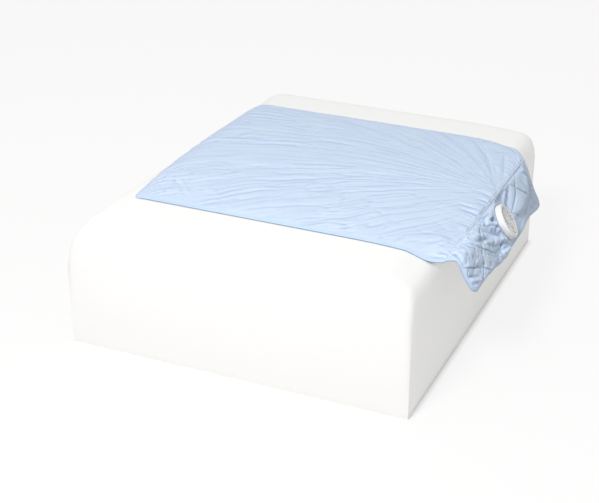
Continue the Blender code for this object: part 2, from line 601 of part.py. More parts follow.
# Motor: bracket pressed in the barrel, bearing tube, stator, and the lead run outside the barrel to its rear

bracket = add("motor_bracket", spun([
    (0.0, REAR), (HUB_RADIUS, REAR), (HUB_RADIUS, PLATE_TOP), (BOSS_RADIUS, PLATE_TOP), (BOSS_RADIUS, BOSS_TOP),
    (BEARING_RADIUS + CLEARANCE, BOSS_TOP), (BEARING_RADIUS + CLEARANCE, REAR + 0.0014), (0.0, REAR + 0.0014)], 32,
    closed=False), white_case, fan_axis)
struts = bmesh.new()
for k in range(4):
    arm = Matrix.Rotation(math.tau * k / 4, 4, "Z")
    middle = (HUB_RADIUS + BORE_RADIUS) / 2 - 0.0015
    length = BORE_RADIUS - HUB_RADIUS + 0.001
    at = arm @ Matrix.Translation((middle, 0.0, REAR + PLATE / 2)) @ Matrix.Diagonal((length, 0.004, 0.9 * PLATE, 1.0))
    bmesh.ops.create_cube(struts, size=1.0, matrix=at)
combine(bracket, "struts", struts, "UNION")
combine(bracket, "bracket_rim", tube_ring(BORE_RADIUS - 0.002, BORE_RADIUS - CLEARANCE, REAR, PLATE_TOP), "UNION")

add("motor_bearing", tube_ring(SHAFT_RADIUS + SHAFT_FIT, BEARING_RADIUS, REAR + 0.0018, BOSS_TOP, 16), bronze, fan_axis)


def stator_core():
    """Four-pole wound core: wide pole faces with slots between, bored for the bearing tube."""
    steps = 48
    bore = BOSS_RADIUS + CLEARANCE
    bm = bmesh.new()
    loops = []
    for k in range(steps):
        turn = (k % (steps // 4)) / (steps // 4)
        reach = STATOR_RADIUS if 0.12 < turn < 0.88 else 0.62 * STATOR_RADIUS
        across = Vector((math.cos(math.tau * k / steps), math.sin(math.tau * k / steps), 0.0))
        heights = (PLATE_TOP + CLEARANCE, BOSS_TOP - 0.003)
        corners = [across * r + Vector((0, 0, z)) for r, z in
                   ((bore, heights[0]), (reach, heights[0]), (reach, heights[1]), (bore, heights[1]))]
        loops.append([bm.verts.new(p) for p in corners])
    for k in range(steps):
        one, two = loops[k - 1], loops[k]
        for j in range(4):
            bm.faces.new((one[j - 1], two[j - 1], two[j], one[j]))
    bmesh.ops.recalc_face_normals(bm, faces=bm.faces[:])
    return bm


add("stator", stator_core(), copper, fan_axis)
lead_height = COVER + LEAD_SPACE / 2
lead_path = [Vector((LEAD_AT, 0.0, SPLIT)), Vector((LEAD_AT, 0.0, lead_height)),
             Vector((HUB_RADIUS - 0.004, 0.0, lead_height))]
add("motor_lead", tube(lead_path, LEAD_RADIUS, 8), black_case, fan_axis)

# Rotor: hub with swept blades, magnet ring and shaft, turning as one on the fan axis

impeller = add("impeller", spun([
    (0.0, HUB_TOP), (HUB_RADIUS - 0.0015, HUB_TOP), (HUB_RADIUS, HUB_TOP - 0.0015), (HUB_RADIUS, HUB_LOW),
    (HUB_RADIUS - HUB_WALL, HUB_LOW), (HUB_RADIUS - HUB_WALL, ROOF), (SHAFT_RADIUS + CLEARANCE + 0.0014, ROOF),
    (SHAFT_RADIUS + CLEARANCE + 0.0014, BOSS_TOP + 0.0006), (SHAFT_RADIUS + CLEARANCE, BOSS_TOP + 0.0006),
    (SHAFT_RADIUS + CLEARANCE, ROOF), (0.0, ROOF)], 42, closed=False), grey_case, fan_axis)


def swept_blades():
    """Constant-pitch blades, each a slice of a screw surface from inside the hub wall to the tip."""
    bm = bmesh.new()
    low = HUB_LOW + 0.0012
    radii = [HUB_RADIUS - 0.6 * HUB_WALL + (BORE_RADIUS - TIP_GAP - HUB_RADIUS + 0.6 * HUB_WALL) * k / 3 for k in range(4)]
    for blade in range(BLADES):
        faces = []
        for side in (-0.5, 0.5):
            rows = []
            for r in radii:
                row = []
                for k in range(6):
                    angle = math.tau * blade / BLADES + BLADE_SWEEP * k / 5 + side * BLADE_THICKNESS / r
                    row.append(bm.verts.new((r * math.cos(angle), r * math.sin(angle), low + BLADE_HEIGHT * k / 5)))
                rows.append(row)
            faces.append(rows)
        one, two = faces
        for i in range(3):
            for k in range(5):
                bm.faces.new((one[i][k], one[i + 1][k], one[i + 1][k + 1], one[i][k + 1]))
                bm.faces.new((two[i][k + 1], two[i + 1][k + 1], two[i + 1][k], two[i][k]))
            bm.faces.new((one[i][0], two[i][0], two[i + 1][0], one[i + 1][0]))
            bm.faces.new((one[i + 1][5], two[i + 1][5], two[i][5], one[i][5]))
        for k in range(5):
            bm.faces.new((one[0][k + 1], two[0][k + 1], two[0][k], one[0][k]))
            bm.faces.new((one[3][k], two[3][k], two[3][k + 1], one[3][k + 1]))
    bmesh.ops.recalc_face_normals(bm, faces=bm.faces[:])
    return bm


combine(impeller, "blades", swept_blades(), "UNION")
add("rotor_magnet", tube_ring(MAGNET_RADIUS - MAGNET, MAGNET_RADIUS, HUB_LOW + CLEARANCE, ROOF - 0.002, 32), ferrite,
    fan_axis)
add("motor_shaft", spun([(0.0, REAR + 0.0018), (SHAFT_RADIUS, REAR + 0.0018), (SHAFT_RADIUS, ROOF - CLEARANCE),
                         (0.0, ROOF - CLEARANCE)], 16, closed=False), steel, fan_axis)
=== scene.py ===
"""Bed cooling mat, dressed: a thin crinkled mat with a quilted flap that carries a round fan unit."""
import math

import bmesh
import bpy
import numpy as np
from mathutils import Matrix, Vector


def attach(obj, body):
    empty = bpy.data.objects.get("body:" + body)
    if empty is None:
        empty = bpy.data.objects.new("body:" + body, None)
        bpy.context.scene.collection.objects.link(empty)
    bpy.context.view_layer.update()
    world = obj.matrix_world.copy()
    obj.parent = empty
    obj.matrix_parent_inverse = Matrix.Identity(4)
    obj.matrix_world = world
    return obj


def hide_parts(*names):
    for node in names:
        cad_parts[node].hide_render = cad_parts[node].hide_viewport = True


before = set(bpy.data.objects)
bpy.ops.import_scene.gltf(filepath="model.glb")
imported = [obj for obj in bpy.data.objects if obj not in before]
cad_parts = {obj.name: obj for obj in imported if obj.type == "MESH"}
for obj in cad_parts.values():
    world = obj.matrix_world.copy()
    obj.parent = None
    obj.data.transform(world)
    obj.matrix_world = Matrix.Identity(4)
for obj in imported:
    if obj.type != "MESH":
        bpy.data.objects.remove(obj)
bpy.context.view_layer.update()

# Camera: a long lens from above the near corner, at the photograph's angle.
# The image is 599 by 503 pixels and its centre is the lens axis.

bpy.ops.object.camera_add(location=(1.5356, -3.6324, 1.6923),
                          rotation=(math.radians(90.0 - 26.69), math.radians(0.14), math.radians(24.0)))
camera = bpy.context.object
camera.data.lens = 82.54
camera.data.sensor_width = 36.0
camera.data.sensor_fit = "HORIZONTAL"
camera.data.clip_end = 50.0
bpy.context.scene.camera = camera
bpy.context.scene.view_settings.view_transform = "Standard"

# Main panel cover: one piece of smooth cool-touch nylon knit, light blue, about 1.5 mm with its wadding.
# It is sewn into the tape round three edges and into the piped seam, and it lies in fine creases that
# run out from the fan, where the weight of the hanging flap pulls on it.

DEPTH = 0.85
HALF = DEPTH / 2
LEFT = 0.483
SEAM_X = 0.538
COVER = 0.0015
HEM_LOW = 0.0021
TOP_LOW = 0.0068
PIPING = 0.0018
REACH = PIPING + 0.0003
END = SEAM_X - REACH
EDGE_ROLL = 0.045
SEAM_Z = PIPING - 0.016
CORNER = 0.028


def smooth(t):
    t = np.clip(t, 0.0, 1.0)
    return t * t * (3.0 - 2.0 * t)


def round_over(distance, run):
    t = np.clip(np.asarray(distance) / run, 0.0, 1.0)
    return np.sqrt(1.0 - (1.0 - t) ** 2)


def drawn_in(v, share):
    """How far the pull of the fan draws the far corner in along the seam."""
    return 0.070 * share * smooth((v - 0.16) / (HALF - 0.16))


def on_panel(u, v, h):
    """Points of the panel: it falls at its edges, bows at the left hem and sags beside the seam."""
    left = np.maximum(0.0, (0.090 - LEFT - u) / 0.090)
    right = np.maximum(0.0, (u - END + 0.270) / 0.270)
    front = 0.5 - v / DEPTH
    hem_drop = 0.052 - 0.047 * front
    shift = 0.045 * front - 0.022 * (1.0 - (v / HALF) ** 2)
    dip = 0.014 * smooth(1.0 - np.abs(u - 0.490) / 0.075) * smooth(1.0 - (v + HALF) / (2 * EDGE_ROLL))
    share = 0.2 * smooth((u - 0.40) / 0.08) + 0.8 * np.clip((u - END + 0.050) / 0.050, 0.0, 1.0) ** 1.8
    fall = hem_drop * left ** 2 + 0.016 * right ** 2 + dip
    return np.stack([u + shift * left, v - drawn_in(v, share), h - fall], axis=-1)


def rounded(gap, v):
    """Draws a free corner in to a round; the gap is the distance from the free edge."""
    p = CORNER - gap
    q = CORNER - (HALF - np.abs(v))
    inside = (p > 0) & (q > 0)
    scale = np.where(inside, np.maximum(p, q) / np.maximum(np.hypot(p, q), 1e-9), 1.0)
    drawn = np.sign(v) * (HALF - CORNER + q * scale)
    return np.where(inside, CORNER - p * scale, gap), np.where(inside, drawn, v)


def rounded_panel(u, v):
    gap, v = rounded(u + LEFT, v)
    return gap - LEFT, v


def panel_swell(u, v):
    return round_over(np.minimum(u + LEFT, END - u), EDGE_ROLL) * round_over(HALF - np.abs(v), EDGE_ROLL)


lattice = np.random.default_rng(11).uniform(-1.0, 1.0, (256, 256))


def waves(x, y):
    """Smooth random heights from -1 to 1, with about one hill in each unit square."""
    i = np.floor(x).astype(int)
    j = np.floor(y).astype(int)
    fx = x - i
    fy = y - j
    fx = fx ** 3 * (fx * (fx * 6.0 - 15.0) + 10.0)
    fy = fy ** 3 * (fy * (fy * 6.0 - 15.0) + 10.0)
    low = lattice[i % 256, j % 256] * (1.0 - fx) + lattice[(i + 1) % 256, j % 256] * fx
    high = lattice[i % 256, (j + 1) % 256] * (1.0 - fx) + lattice[(i + 1) % 256, (j + 1) % 256] * fx
    return low * (1.0 - fy) + high * fy


def pulled(folds, a, b):
    """Height of single folds. Each runs through places in millimetres and has a height, below zero for a
    valley, and a width; a ridge slopes gently towards the light and steeply away from it."""
    total = np.zeros_like(a)
    for places, tall, wide in folds:
        near = np.full_like(a, 1e9)
        ends = np.zeros_like(a)
        side = np.zeros_like(a)
        count = len(places) - 1
        for k in range(count):
            start, stop = np.array(places[k]) / 1000.0, np.array(places[k + 1]) / 1000.0
            step = stop - start
            t = np.clip(((a - start[0]) * step[0] + (b - start[1]) * step[1]) / (step @ step), 0.0, 1.0)
            over, down = a - start[0] - t * step[0], b - start[1] - t * step[1]
            away = np.hypot(over, down)
            ends = np.where(away < near, (k + t) / count, ends)
            side = np.where(away < near, -0.6 * over - 0.8 * down, side)
            near = np.minimum(near, away)
        reach = wide / 1000.0 * (np.where(side > 0.0, 1.5, 0.7) if tall > 0 else 1.0)
        slope = np.exp(-(near / reach) ** (2.0 if tall > 0 else 1.3))
        total += tall / 1000.0 * slope * (4.0 * ends * (1.0 - ends)) ** 0.5
    return total


PULLS = (([(462, -82), (512, -84), (536, -88)], -6.0, 4.0),
         ([(474, -110), (520, -117), (536, -121)], -6.2, 4.0),
         ([(470, -97), (512, -100), (536, -105)], 1.0, 6.0), ([(480, -127), (536, -133)], 0.8, 6.0),
         ([(470, -70), (536, -74)], 0.8, 6.0), ([(500, -136), (536, -145)], -4.5, 4.0),
         ([(420, -312), (481, -302), (530, -294)], -2.6, 4.0),
         ([(420, 330), (486, 188), (532, 72)], -5.5, 4.5),
         ([(466, 268), (510, 150), (534, 80)], -5.0, 4.5), ([(478, 350), (511, 225), (532, 122)], -4.5, 4.5),
         ([(462, 424), (500, 400), (530, 372)], -2.4, 4.5),
         ([(350, 400), (426, 304), (475, 209), (516, 98)], -2.8, 5.5),
         ([(496, -412), (536, -405)], -3.0, 4.5), ([(500, -399), (536, -394)], 2.4, 4.5),
         ([(536, -383), (500, -377)], -3.0, 4.5), ([(536, -360), (490, -350)], -2.4, 4.5))


# Where the drawn lines start, beside the fan, and the way in which they run out.
DRAWN_FROM = (0.548, 0.045)
DRAWN_ALONG = (0.9135, 0.4067)


def panel_creases(u, v):
    """Height of the loose cloth: drawn lines that run out from the fan, gathers and crumples."""
    left = DRAWN_ALONG[0] * (DRAWN_FROM[0] - u) - DRAWN_ALONG[1] * (v - DRAWN_FROM[1])
    back = DRAWN_ALONG[1] * (DRAWN_FROM[0] - u) + DRAWN_ALONG[0] * (v - DRAWN_FROM[1])
    away = np.hypot(left, back)
    spread = (0.25 + 0.75 * smooth((back + 0.06) / 0.18)) * np.exp(-np.maximum(left, 0.0) / 0.5)
    line = spread * np.arctan2(back, np.maximum(left, 0.002)) + back
    line = line + 0.22 * left + 0.25 * np.maximum(0.0, left - 0.65) ** 2
    line = line + 0.014 * waves(u / 0.13 + 3.0, v / 0.12 + 7.0)
    line = line + 0.0045 * waves(u / 0.045 + 13.0, v / 0.050 + 27.0)
    height = np.zeros_like(away)
    for pitch, long, depth, at in ((0.050, 0.26, 0.0034, 0.3), (0.031, 0.17, 0.0026, 17.7),
                                   (0.018, 0.11, 0.0017, 61.3), (0.011, 0.08, 0.0011, 83.9)):
        fold = waves(line / pitch + at, away / long + at)
        crease = np.exp(-(waves(line / pitch * 0.8 + at + 40.0, away / long * 1.2 + at) / 0.22) ** 2)
        here = smooth(0.55 + 0.9 * waves(line / 0.11 + at, away / 0.24 + at + 9.0))
        height += depth * (0.5 * fold - 0.95 * here * crease)
    calm = 1.0 - 0.5 * smooth((back - 0.02) / 0.2) * np.exp(-np.maximum(left - 0.1, 0.0) / 0.25)
    calm = calm + 0.5 * np.exp(-((u + LEFT) / 0.24) ** 2)
    calm = calm * (0.98 - 0.52 * smooth((v + 0.28) / 0.50))
    patches = 0.95 + 0.5 * waves(u / 0.19 + 51.0, v / 0.15 + 37.0)
    height *= (0.35 + 0.65 * smooth((away - 0.03) / 0.10)) * patches * calm
    height += 0.0009 * waves(u / 0.16 + 80.0, v / 0.11 + 21.0) + pulled(PULLS, u, v)
    beside = END - u
    close = 0.4 + 0.9 * np.exp(-((v + 0.03) / 0.10) ** 2) + 0.9 * np.exp(-((v + 0.36) / 0.09) ** 2)
    height += 0.0036 * np.exp(-beside / 0.030) * close * waves(v / 0.0105 + 5.0, beside / 0.06 + 2.0)
    height += 0.0030 * np.exp(-beside / 0.07) * waves(v / 0.024 + 15.0, beside / 0.05 + 31.0)
    for edge, along in ((HALF - np.abs(v), u), (u + LEFT, v)):
        height += 0.0008 * np.exp(-edge / 0.022) * waves(along / 0.017 + 70.0, edge / 0.05 + 3.0)
    crumple = np.exp(-((u + LEFT - 0.10) / 0.14) ** 2 - ((v + HALF - 0.07) / 0.12) ** 2)
    one = waves((u + v) / 0.070 + 11.0, (u - v) / 0.022 + 4.0)
    two = waves((u - v) / 0.075 + 7.0, (u + v) / 0.020 + 2.0)
    pinched = np.exp(-(one / 0.22) ** 2) + np.exp(-(two / 0.22) ** 2)
    height += crumple * (0.0014 * (one + two) - 0.0018 * pinched)
    return height


def soft_floor(rise):
    """Height that never falls below zero, rounded where it would."""
    return np.logaddexp(0.0, 1600.0 * rise) / 1600.0


def panel_high(u, v):
    swell = panel_swell(u, v)
    rise = (TOP_LOW - HEM_LOW - 0.0016) * swell + (0.0009 + panel_creases(u, v)) * (0.25 + 0.75 * swell)
    return HEM_LOW + COVER + 0.0016 * swell + soft_floor(rise)


def pick(made):
    """Selects one object alone and makes it the active one."""
    bpy.ops.object.select_all(action="DESELECT")
    made.select_set(True)
    bpy.context.view_layer.objects.active = made


def made_up(name, points, faces, sharp, flat=None):
    """New piece from points and faces, turned outwards, with edges over the sharp angle left hard.
    Its UV map is the flat cut in metres."""
    mesh = bpy.data.meshes.new(name)
    mesh.from_pydata(points.reshape(-1, 3), [], faces)
    if flat is not None:
        layer = mesh.uv_layers.new(name="cut")
        corners = np.empty(len(mesh.loops), dtype=int)
        mesh.loops.foreach_get("vertex_index", corners)
        layer.data.foreach_set("uv", flat.reshape(-1, 2)[corners].astype(np.float32).ravel())
    made = bpy.data.objects.new(name, mesh)
    bpy.context.collection.objects.link(made)
    pick(made)
    bpy.ops.object.mode_set(mode="EDIT")
    bpy.ops.mesh.select_all(action="SELECT")
    bpy.ops.mesh.normals_make_consistent(inside=False)
    bpy.ops.object.mode_set(mode="OBJECT")
    bpy.ops.object.shade_smooth_by_angle(angle=math.radians(sharp))
    return made


def cloth_layer(name, upper, lower, flat):
    """Closed layer of cloth between two grids, the lower one as fine or coarser."""
    step = (upper.shape[0] - 1) // (lower.shape[0] - 1)
    number = np.arange(upper.shape[0] * upper.shape[1]).reshape(upper.shape[:2])
    under = number.size + np.arange(lower.shape[0] * lower.shape[1]).reshape(lower.shape[:2])
    faces = []
    for grid, way in ((number, 1), (under, -1)):
        quads = np.stack([grid[:-1, :-1], grid[1:, :-1], grid[1:, 1:], grid[:-1, 1:]], axis=-1).reshape(-1, 4)
        faces += quads[:, ::way].tolist()
    for fine, rough, way in ((number[:, 0], under[:, 0], -1), (number[:, -1], under[:, -1], 1),
                             (number[0], under[0], 1), (number[-1], under[-1], -1)):
        for k in range(len(rough) - 1):
            rim = fine[k * step:k * step + step + 1].tolist() + [rough[k + 1], rough[k]]
            faces.append([int(p) for p in rim[::way]])
    points = np.concatenate([upper.reshape(-1, 3), lower.reshape(-1, 3)])
    cut = np.concatenate([flat.reshape(-1, 2), flat[::step, ::step].reshape(-1, 2)])
    return made_up(name, points, faces, 65.0, cut)


def lowest_near(height, step):
    """Lowest height round each coarser point, so that the underside never shows through a crease."""
    wide = np.pad(height, step, mode="edge")
    low = height.copy()
    for i in range(-step, step + 1):
        for j in range(-step, step + 1):
            moved = wide[step + i:step + i + height.shape[0], step + j:step + j + height.shape[1]]
            low = np.minimum(low, moved)
    return low[::step, ::step]


def mark_crease_shade(made, height, reach, depth):
    """Stores how deep each point lies in a crease, from 0 to 1, against the cloth round it; the jersey paints
    shade into the creases from it.
    """
    wide = np.pad(height, [(r, r) for r in reach], mode="edge")
    spans = [range(-r, r + 1) for r in reach]
    rows, columns = height.shape
    around = sum(wide[reach[0] + i:reach[0] + i + rows, reach[1] + j:reach[1] + j + columns]
                 for i in spans[0] for j in spans[1]) / (len(spans[0]) * len(spans[1]))
    deep = np.zeros(len(made.data.vertices), dtype=np.float32)
    deep[:height.size] = np.clip((around - height) / depth, 0.0, 1.0).ravel()
    made.data.attributes.new("crease", "FLOAT", "POINT").data.foreach_set("value", deep)


def srgb(code):
    """Linear colour of an sRGB hex value."""
    parts = [int(code[k:k + 2], 16) / 255.0 for k in (1, 3, 5)]
    return (*(p / 12.92 if p <= 0.04045 else ((p + 0.055) / 1.055) ** 2.4 for p in parts), 1.0)


def feed(material, made, inputs):
    """Sets a node's inputs, each to a value or to another node's output."""
    for key, value in inputs.items():
        if isinstance(value, bpy.types.NodeSocket):
            material.node_tree.links.new(value, made.inputs[key])
        else:
            made.inputs[key].default_value = value


def node(material, kind, inputs, **settings):
    """Adds one node."""
    made = material.node_tree.nodes.new(kind)
    for key, value in settings.items():
        setattr(made, key, value)
    feed(material, made, inputs)
    return made


def new_material(name):
    made = bpy.data.materials.new(name)
    made.use_nodes = True
    return made


def set_shader(material, inputs):
    """Sets the inputs of a material's shader."""
    feed(material, material.node_tree.nodes["Principled BSDF"], inputs)


# A wave texture of scale 1 repeats each 0.314 m.
WAVE = 0.314

# Cool-touch nylon jersey: a close, smooth knit with a silky sheen. The eye sees a soft cloudy blue, a fine
# crinkle left by the wash, painted shade that darkens the blue down in the creases and, close up, ribs of
# knit. Real ribs are 0.7 mm apart and are drawn at 1.6 mm.
jersey = new_material("cool_touch_nylon_jersey")
cut = node(jersey, "ShaderNodeTexCoord", {}).outputs["UV"]
cloud = node(jersey, "ShaderNodeTexNoise", {"Vector": cut, "Scale": 9.0, "Detail": 4.0, "Roughness": 0.55})
tint = node(jersey, "ShaderNodeMix", {0: cloud.outputs["Fac"], 6: srgb("#C9DCF5"), 7: srgb("#D8E7FA")},
            data_type="RGBA")
# Painted shade: by the stored crease depth the blue darkens to slate blue down in each crease.
crease = node(jersey, "ShaderNodeAttribute", {}, attribute_name="crease")
tint = node(jersey, "ShaderNodeMix", {0: crease.outputs["Fac"], 6: tint.outputs[2], 7: srgb("#A0B4D2")},
            data_type="RGBA")
yarn = node(jersey, "ShaderNodeTexNoise", {"Vector": cut, "Scale": 420.0, "Detail": 2.0})
fleck = node(jersey, "ShaderNodeMapRange", {"Value": yarn.outputs["Fac"], 3: 0.95, 4: 1.05})
blue = node(jersey, "ShaderNodeMix", {0: 1.0, 6: tint.outputs[2], 7: fleck.outputs["Result"]},
            data_type="RGBA", blend_type="MULTIPLY")
crinkle = node(jersey, "ShaderNodeTexNoise", {"Vector": cut, "Scale": 120.0, "Detail": 3.0, "Roughness": 0.5,
                                              "Distortion": 0.6})
ribs = node(jersey, "ShaderNodeTexWave", {"Vector": cut, "Scale": WAVE / 0.0016, "Distortion": 1.5,
                                          "Detail": 1.0, "Detail Scale": 3.0}, bands_direction="Y")
knit = node(jersey, "ShaderNodeBump", {"Height": ribs.outputs["Fac"], "Strength": 0.25, "Distance": 0.0002})
relief = node(jersey, "ShaderNodeBump", {"Height": crinkle.outputs["Fac"], "Strength": 0.5,
                                         "Distance": 0.0012, "Normal": knit.outputs["Normal"]})
gloss = node(jersey, "ShaderNodeMapRange", {"Value": cloud.outputs["Fac"], 3: 0.52, 4: 0.64})
set_shader(jersey, {"Base Color": blue.outputs[2], "Normal": relief.outputs["Normal"],
                    "Roughness": gloss.outputs["Result"], "IOR": 1.53, "Specular IOR Level": 0.2,
                    "Sheen Weight": 0.12, "Sheen Roughness": 0.4})

panel_u = np.concatenate([np.linspace(-LEFT, 0.40, 145)[:-1], np.linspace(0.40, END + 0.0008, 49)])
panel_v = np.linspace(-HALF, HALF, 385)
grid_u, grid_v = np.meshgrid(panel_u, panel_v, indexing="ij")
place_u, place_v = rounded_panel(grid_u, grid_v)
high = panel_high(grid_u, grid_v)
under = lowest_near(high, 4) - 0.0008
panel_cover = cloth_layer("panel_cover", on_panel(place_u, place_v, high),
                          on_panel(place_u[::4, ::4], place_v[::4, ::4], under),
                          np.stack([grid_u, grid_v], axis=-1))
panel_cover.data.materials.append(jersey)
mark_crease_shade(panel_cover, high, (2, 6), 0.0028)
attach(panel_cover, "mat")
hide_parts("top_cover")

# Spacer under the panel cover: a slab of open 3-D knit that carries the air, about 5 mm thick.
# It is cut short of the hems and only lies between the two cloths.

# Spacer knit: two hexagonal mesh faces held apart by springy yarn. The eye sees pale cells about 4 mm across.
spacer = new_material("polyester_spacer_knit")
cut = node(spacer, "ShaderNodeTexCoord", {}).outputs["UV"]
cells = node(spacer, "ShaderNodeTexVoronoi", {"Vector": cut, "Scale": 1.0 / 0.004, "Randomness": 0.15},
             feature="DISTANCE_TO_EDGE")
strand = node(spacer, "ShaderNodeMapRange", {"Value": cells.outputs["Distance"], 1: 0.05, 2: 0.22})
# Painted shade: the middle of each cell is greyed, for the shade down in its open hole.
shade = node(spacer, "ShaderNodeMix", {0: strand.outputs["Result"], 6: srgb("#EEF1F4"), 7: srgb("#AEB6BF")},
             data_type="RGBA")
holes = node(spacer, "ShaderNodeBump", {"Height": strand.outputs["Result"], "Strength": 0.8,
                                        "Distance": 0.001}, invert=True)
set_shader(spacer, {"Base Color": shade.outputs[2], "Normal": holes.outputs["Normal"], "Roughness": 0.8})

rough_u, rough_v = grid_u[::4, ::4], grid_v[::4, ::4]
inner = (slice(2, -6), slice(5, -5))
core_top = np.minimum(under[inner] - 0.0004, 0.0072)
panel_spacer = cloth_layer("panel_spacer", on_panel(rough_u[inner], rough_v[inner], core_top),
                           on_panel(rough_u[inner], rough_v[inner], np.minimum(0.0019, core_top - 0.001)),
                           np.stack([rough_u[inner], rough_v[inner]], axis=-1))
panel_spacer.data.materials.append(spacer)
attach(panel_spacer, "mat")
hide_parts("spacer_core")

# Panel backing: plain off-white polyester cloth, flat underneath. It is cut like the cover and sewn
# into the same tape and seam.

# Woven polyester: a plain weave of off-white yarn, matt. Real threads are 0.4 mm apart, drawn at 1.2 mm.
woven = new_material("plain_woven_polyester")
cut = node(woven, "ShaderNodeTexCoord", {}).outputs["UV"]
cloud = node(woven, "ShaderNodeTexNoise", {"Vector": cut, "Scale": 14.0, "Detail": 3.0})
tint = node(woven, "ShaderNodeMix", {0: cloud.outputs["Fac"], 6: srgb("#E3E6EA"), 7: srgb("#EEF0F2")},
            data_type="RGBA")
warp, weft = (node(woven, "ShaderNodeTexWave", {"Vector": cut, "Scale": WAVE / 0.0012, "Distortion": 0.6},
                   bands_direction=way) for way in "XY")
over = node(woven, "ShaderNodeMath", {0: warp.outputs["Fac"], 1: weft.outputs["Fac"]}, operation="MULTIPLY")
weave = node(woven, "ShaderNodeBump", {"Height": over.outputs["Value"], "Strength": 0.4, "Distance": 0.0003})
set_shader(woven, {"Base Color": tint.outputs[2], "Normal": weave.outputs["Normal"], "Roughness": 0.85})

flat_u, flat_v = rounded_panel(rough_u, rough_v)
panel_backing = cloth_layer("panel_backing", on_panel(flat_u, flat_v, np.full_like(flat_u, COVER)),
                            on_panel(flat_u, flat_v, np.zeros_like(flat_u)),
                            np.stack([rough_u, rough_v], axis=-1))
panel_backing.data.materials.append(woven)
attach(panel_backing, "mat")
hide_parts("bottom_cover")

# Panel tape: light-blue woven tape folded in two over the hem and sewn through with one row of stitches.
# It runs along the front, round the two free corners and back to the seam.


def hem_stations(far, low, high_end, radius, pitch):
    """Places along three sides of a cut and the way in from each, fanned about the rounded corners."""
    def run(a, b):
        return np.linspace(a, b, max(2, int(abs(b - a) / pitch)), endpoint=False)
    points = [(t, low) for t in run(far, -radius)]
    points += [(t, low) for t in np.linspace(-radius, 0.0, 8, endpoint=False)]
    points += [(0.0, t) for t in np.linspace(low, low + radius, 8, endpoint=False)]
    points += [(0.0, t) for t in run(low + radius, high_end - radius)]
    points += [(0.0, t) for t in np.linspace(high_end - radius, high_end, 8, endpoint=False)]
    points += [(t, high_end) for t in np.linspace(0.0, -radius, 8, endpoint=False)]
    points += [(t, high_end) for t in run(-radius, far)] + [(far, high_end)]
    points = np.array(points)
    ways = np.zeros_like(points)
    for k, (across, along) in enumerate(points):
        middle = (-radius, min(max(along, low + radius), high_end - radius))
        if across > -radius:
            ways[k] = ((middle[0] - across) / radius, (middle[1] - along) / radius)
        else:
            ways[k] = (0.0, 1.0 if along < 0 else -1.0)
    return points, ways


def run_along(line):
    """Length from the start of a line to each of its points."""
    return np.concatenate([[0.0], np.cumsum(np.linalg.norm(np.diff(line, axis=0), axis=1))])


def tube_faces(count, sides):
    """Faces of a closed tube with so many rings and so many points to a ring."""
    number = np.arange(count * sides).reshape(count, sides)
    beside = np.roll(number, -1, axis=1)
    quads = np.stack([number[:-1], number[1:], beside[1:], beside[:-1]], axis=-1)
    return quads.reshape(-1, 4).tolist() + [number[0].tolist(), number[-1][::-1].tolist()]


def folded_tape(name, points, ways, place, top, material, width=0.008):
    """Tape laid over the top of a hem, round its edge and back underneath, as a closed strip 0.5 mm thick."""
    legs = [width, 0.75 * width, 0.45 * width, 0.15 * width]
    edge = [(-0.0012, 0.0041), (-0.0028, 0.0034), (-0.0036, 0.0018), (-0.0028, 0.0002), (-0.0012, -0.0005)]
    loop = []
    for skin in (0.0006, 0.0001):
        side = []
        for d in legs:
            at = points + d * ways
            side.append(place(at, top(at) + skin))
        for d, h in edge:
            pull = 1.0 if skin > 0.0003 else 0.82
            at = points + d * pull * ways
            side.append(place(at, np.full(len(at), 0.0018 + (h - 0.0018) * pull)))
        for d in legs[::-1]:
            at = points + d * ways
            side.append(place(at, np.full(len(at), -skin)))
        loop += side if skin > 0.0003 else side[::-1]
    rings = np.stack(loop, axis=1)
    count, sides = rings.shape[:2]
    length = run_along(rings[:, 6])
    half = sides // 2
    round_it = np.concatenate([np.arange(half), np.arange(half)[::-1]]) * 0.0017
    flat = np.stack(np.meshgrid(length, round_it, indexing="ij"), axis=-1)
    made = made_up(name, rings, tube_faces(count, sides), 50.0, flat)
    made.data.materials.append(material)
    return made


# Polyester binding tape: a fine twill, a little deeper blue than the cover, matt, with painted shadow in
# slate blue over the lower half of its edge fold and its underside. Twill lines are drawn 1.4 mm apart.
tape = new_material("polyester_twill_tape")
cut = node(tape, "ShaderNodeTexCoord", {}).outputs["UV"]
lean = node(tape, "ShaderNodeMapping", {"Vector": cut, "Rotation": (0.0, 0.0, math.radians(35.0))})
cloud = node(tape, "ShaderNodeTexNoise", {"Vector": cut, "Scale": 60.0, "Detail": 2.0})
tint = node(tape, "ShaderNodeMix", {0: cloud.outputs["Fac"], 6: srgb("#B9D1F0"), 7: srgb("#C9DDF6")},
            data_type="RGBA")
# Painted shadow: past the middle of its edge fold the tape turns slate blue, for the shadow under the hem.
across = node(tape, "ShaderNodeSeparateXYZ", {"Vector": cut})
below = node(tape, "ShaderNodeMapRange", {"Value": across.outputs["Y"], 1: 0.0085, 2: 0.0110})
tint = node(tape, "ShaderNodeMix", {0: below.outputs["Result"], 6: tint.outputs[2], 7: srgb("#7F96B6")},
            data_type="RGBA")
twill = node(tape, "ShaderNodeTexWave", {"Vector": lean.outputs["Vector"], "Scale": WAVE / 0.0014,
                                         "Distortion": 0.8})
line = node(tape, "ShaderNodeBump", {"Height": twill.outputs["Fac"], "Strength": 0.4, "Distance": 0.0003})
set_shader(tape, {"Base Color": tint.outputs[2], "Normal": line.outputs["Normal"], "Roughness": 0.72,
                  "Sheen Weight": 0.2})

panel_points, panel_ways = hem_stations(-LEFT - END, -HALF, HALF, CORNER, 0.006)


def panel_place(at, h):
    u, v = -LEFT - at[:, 0], at[:, 1]
    return on_panel(*rounded_panel(u, v), h)


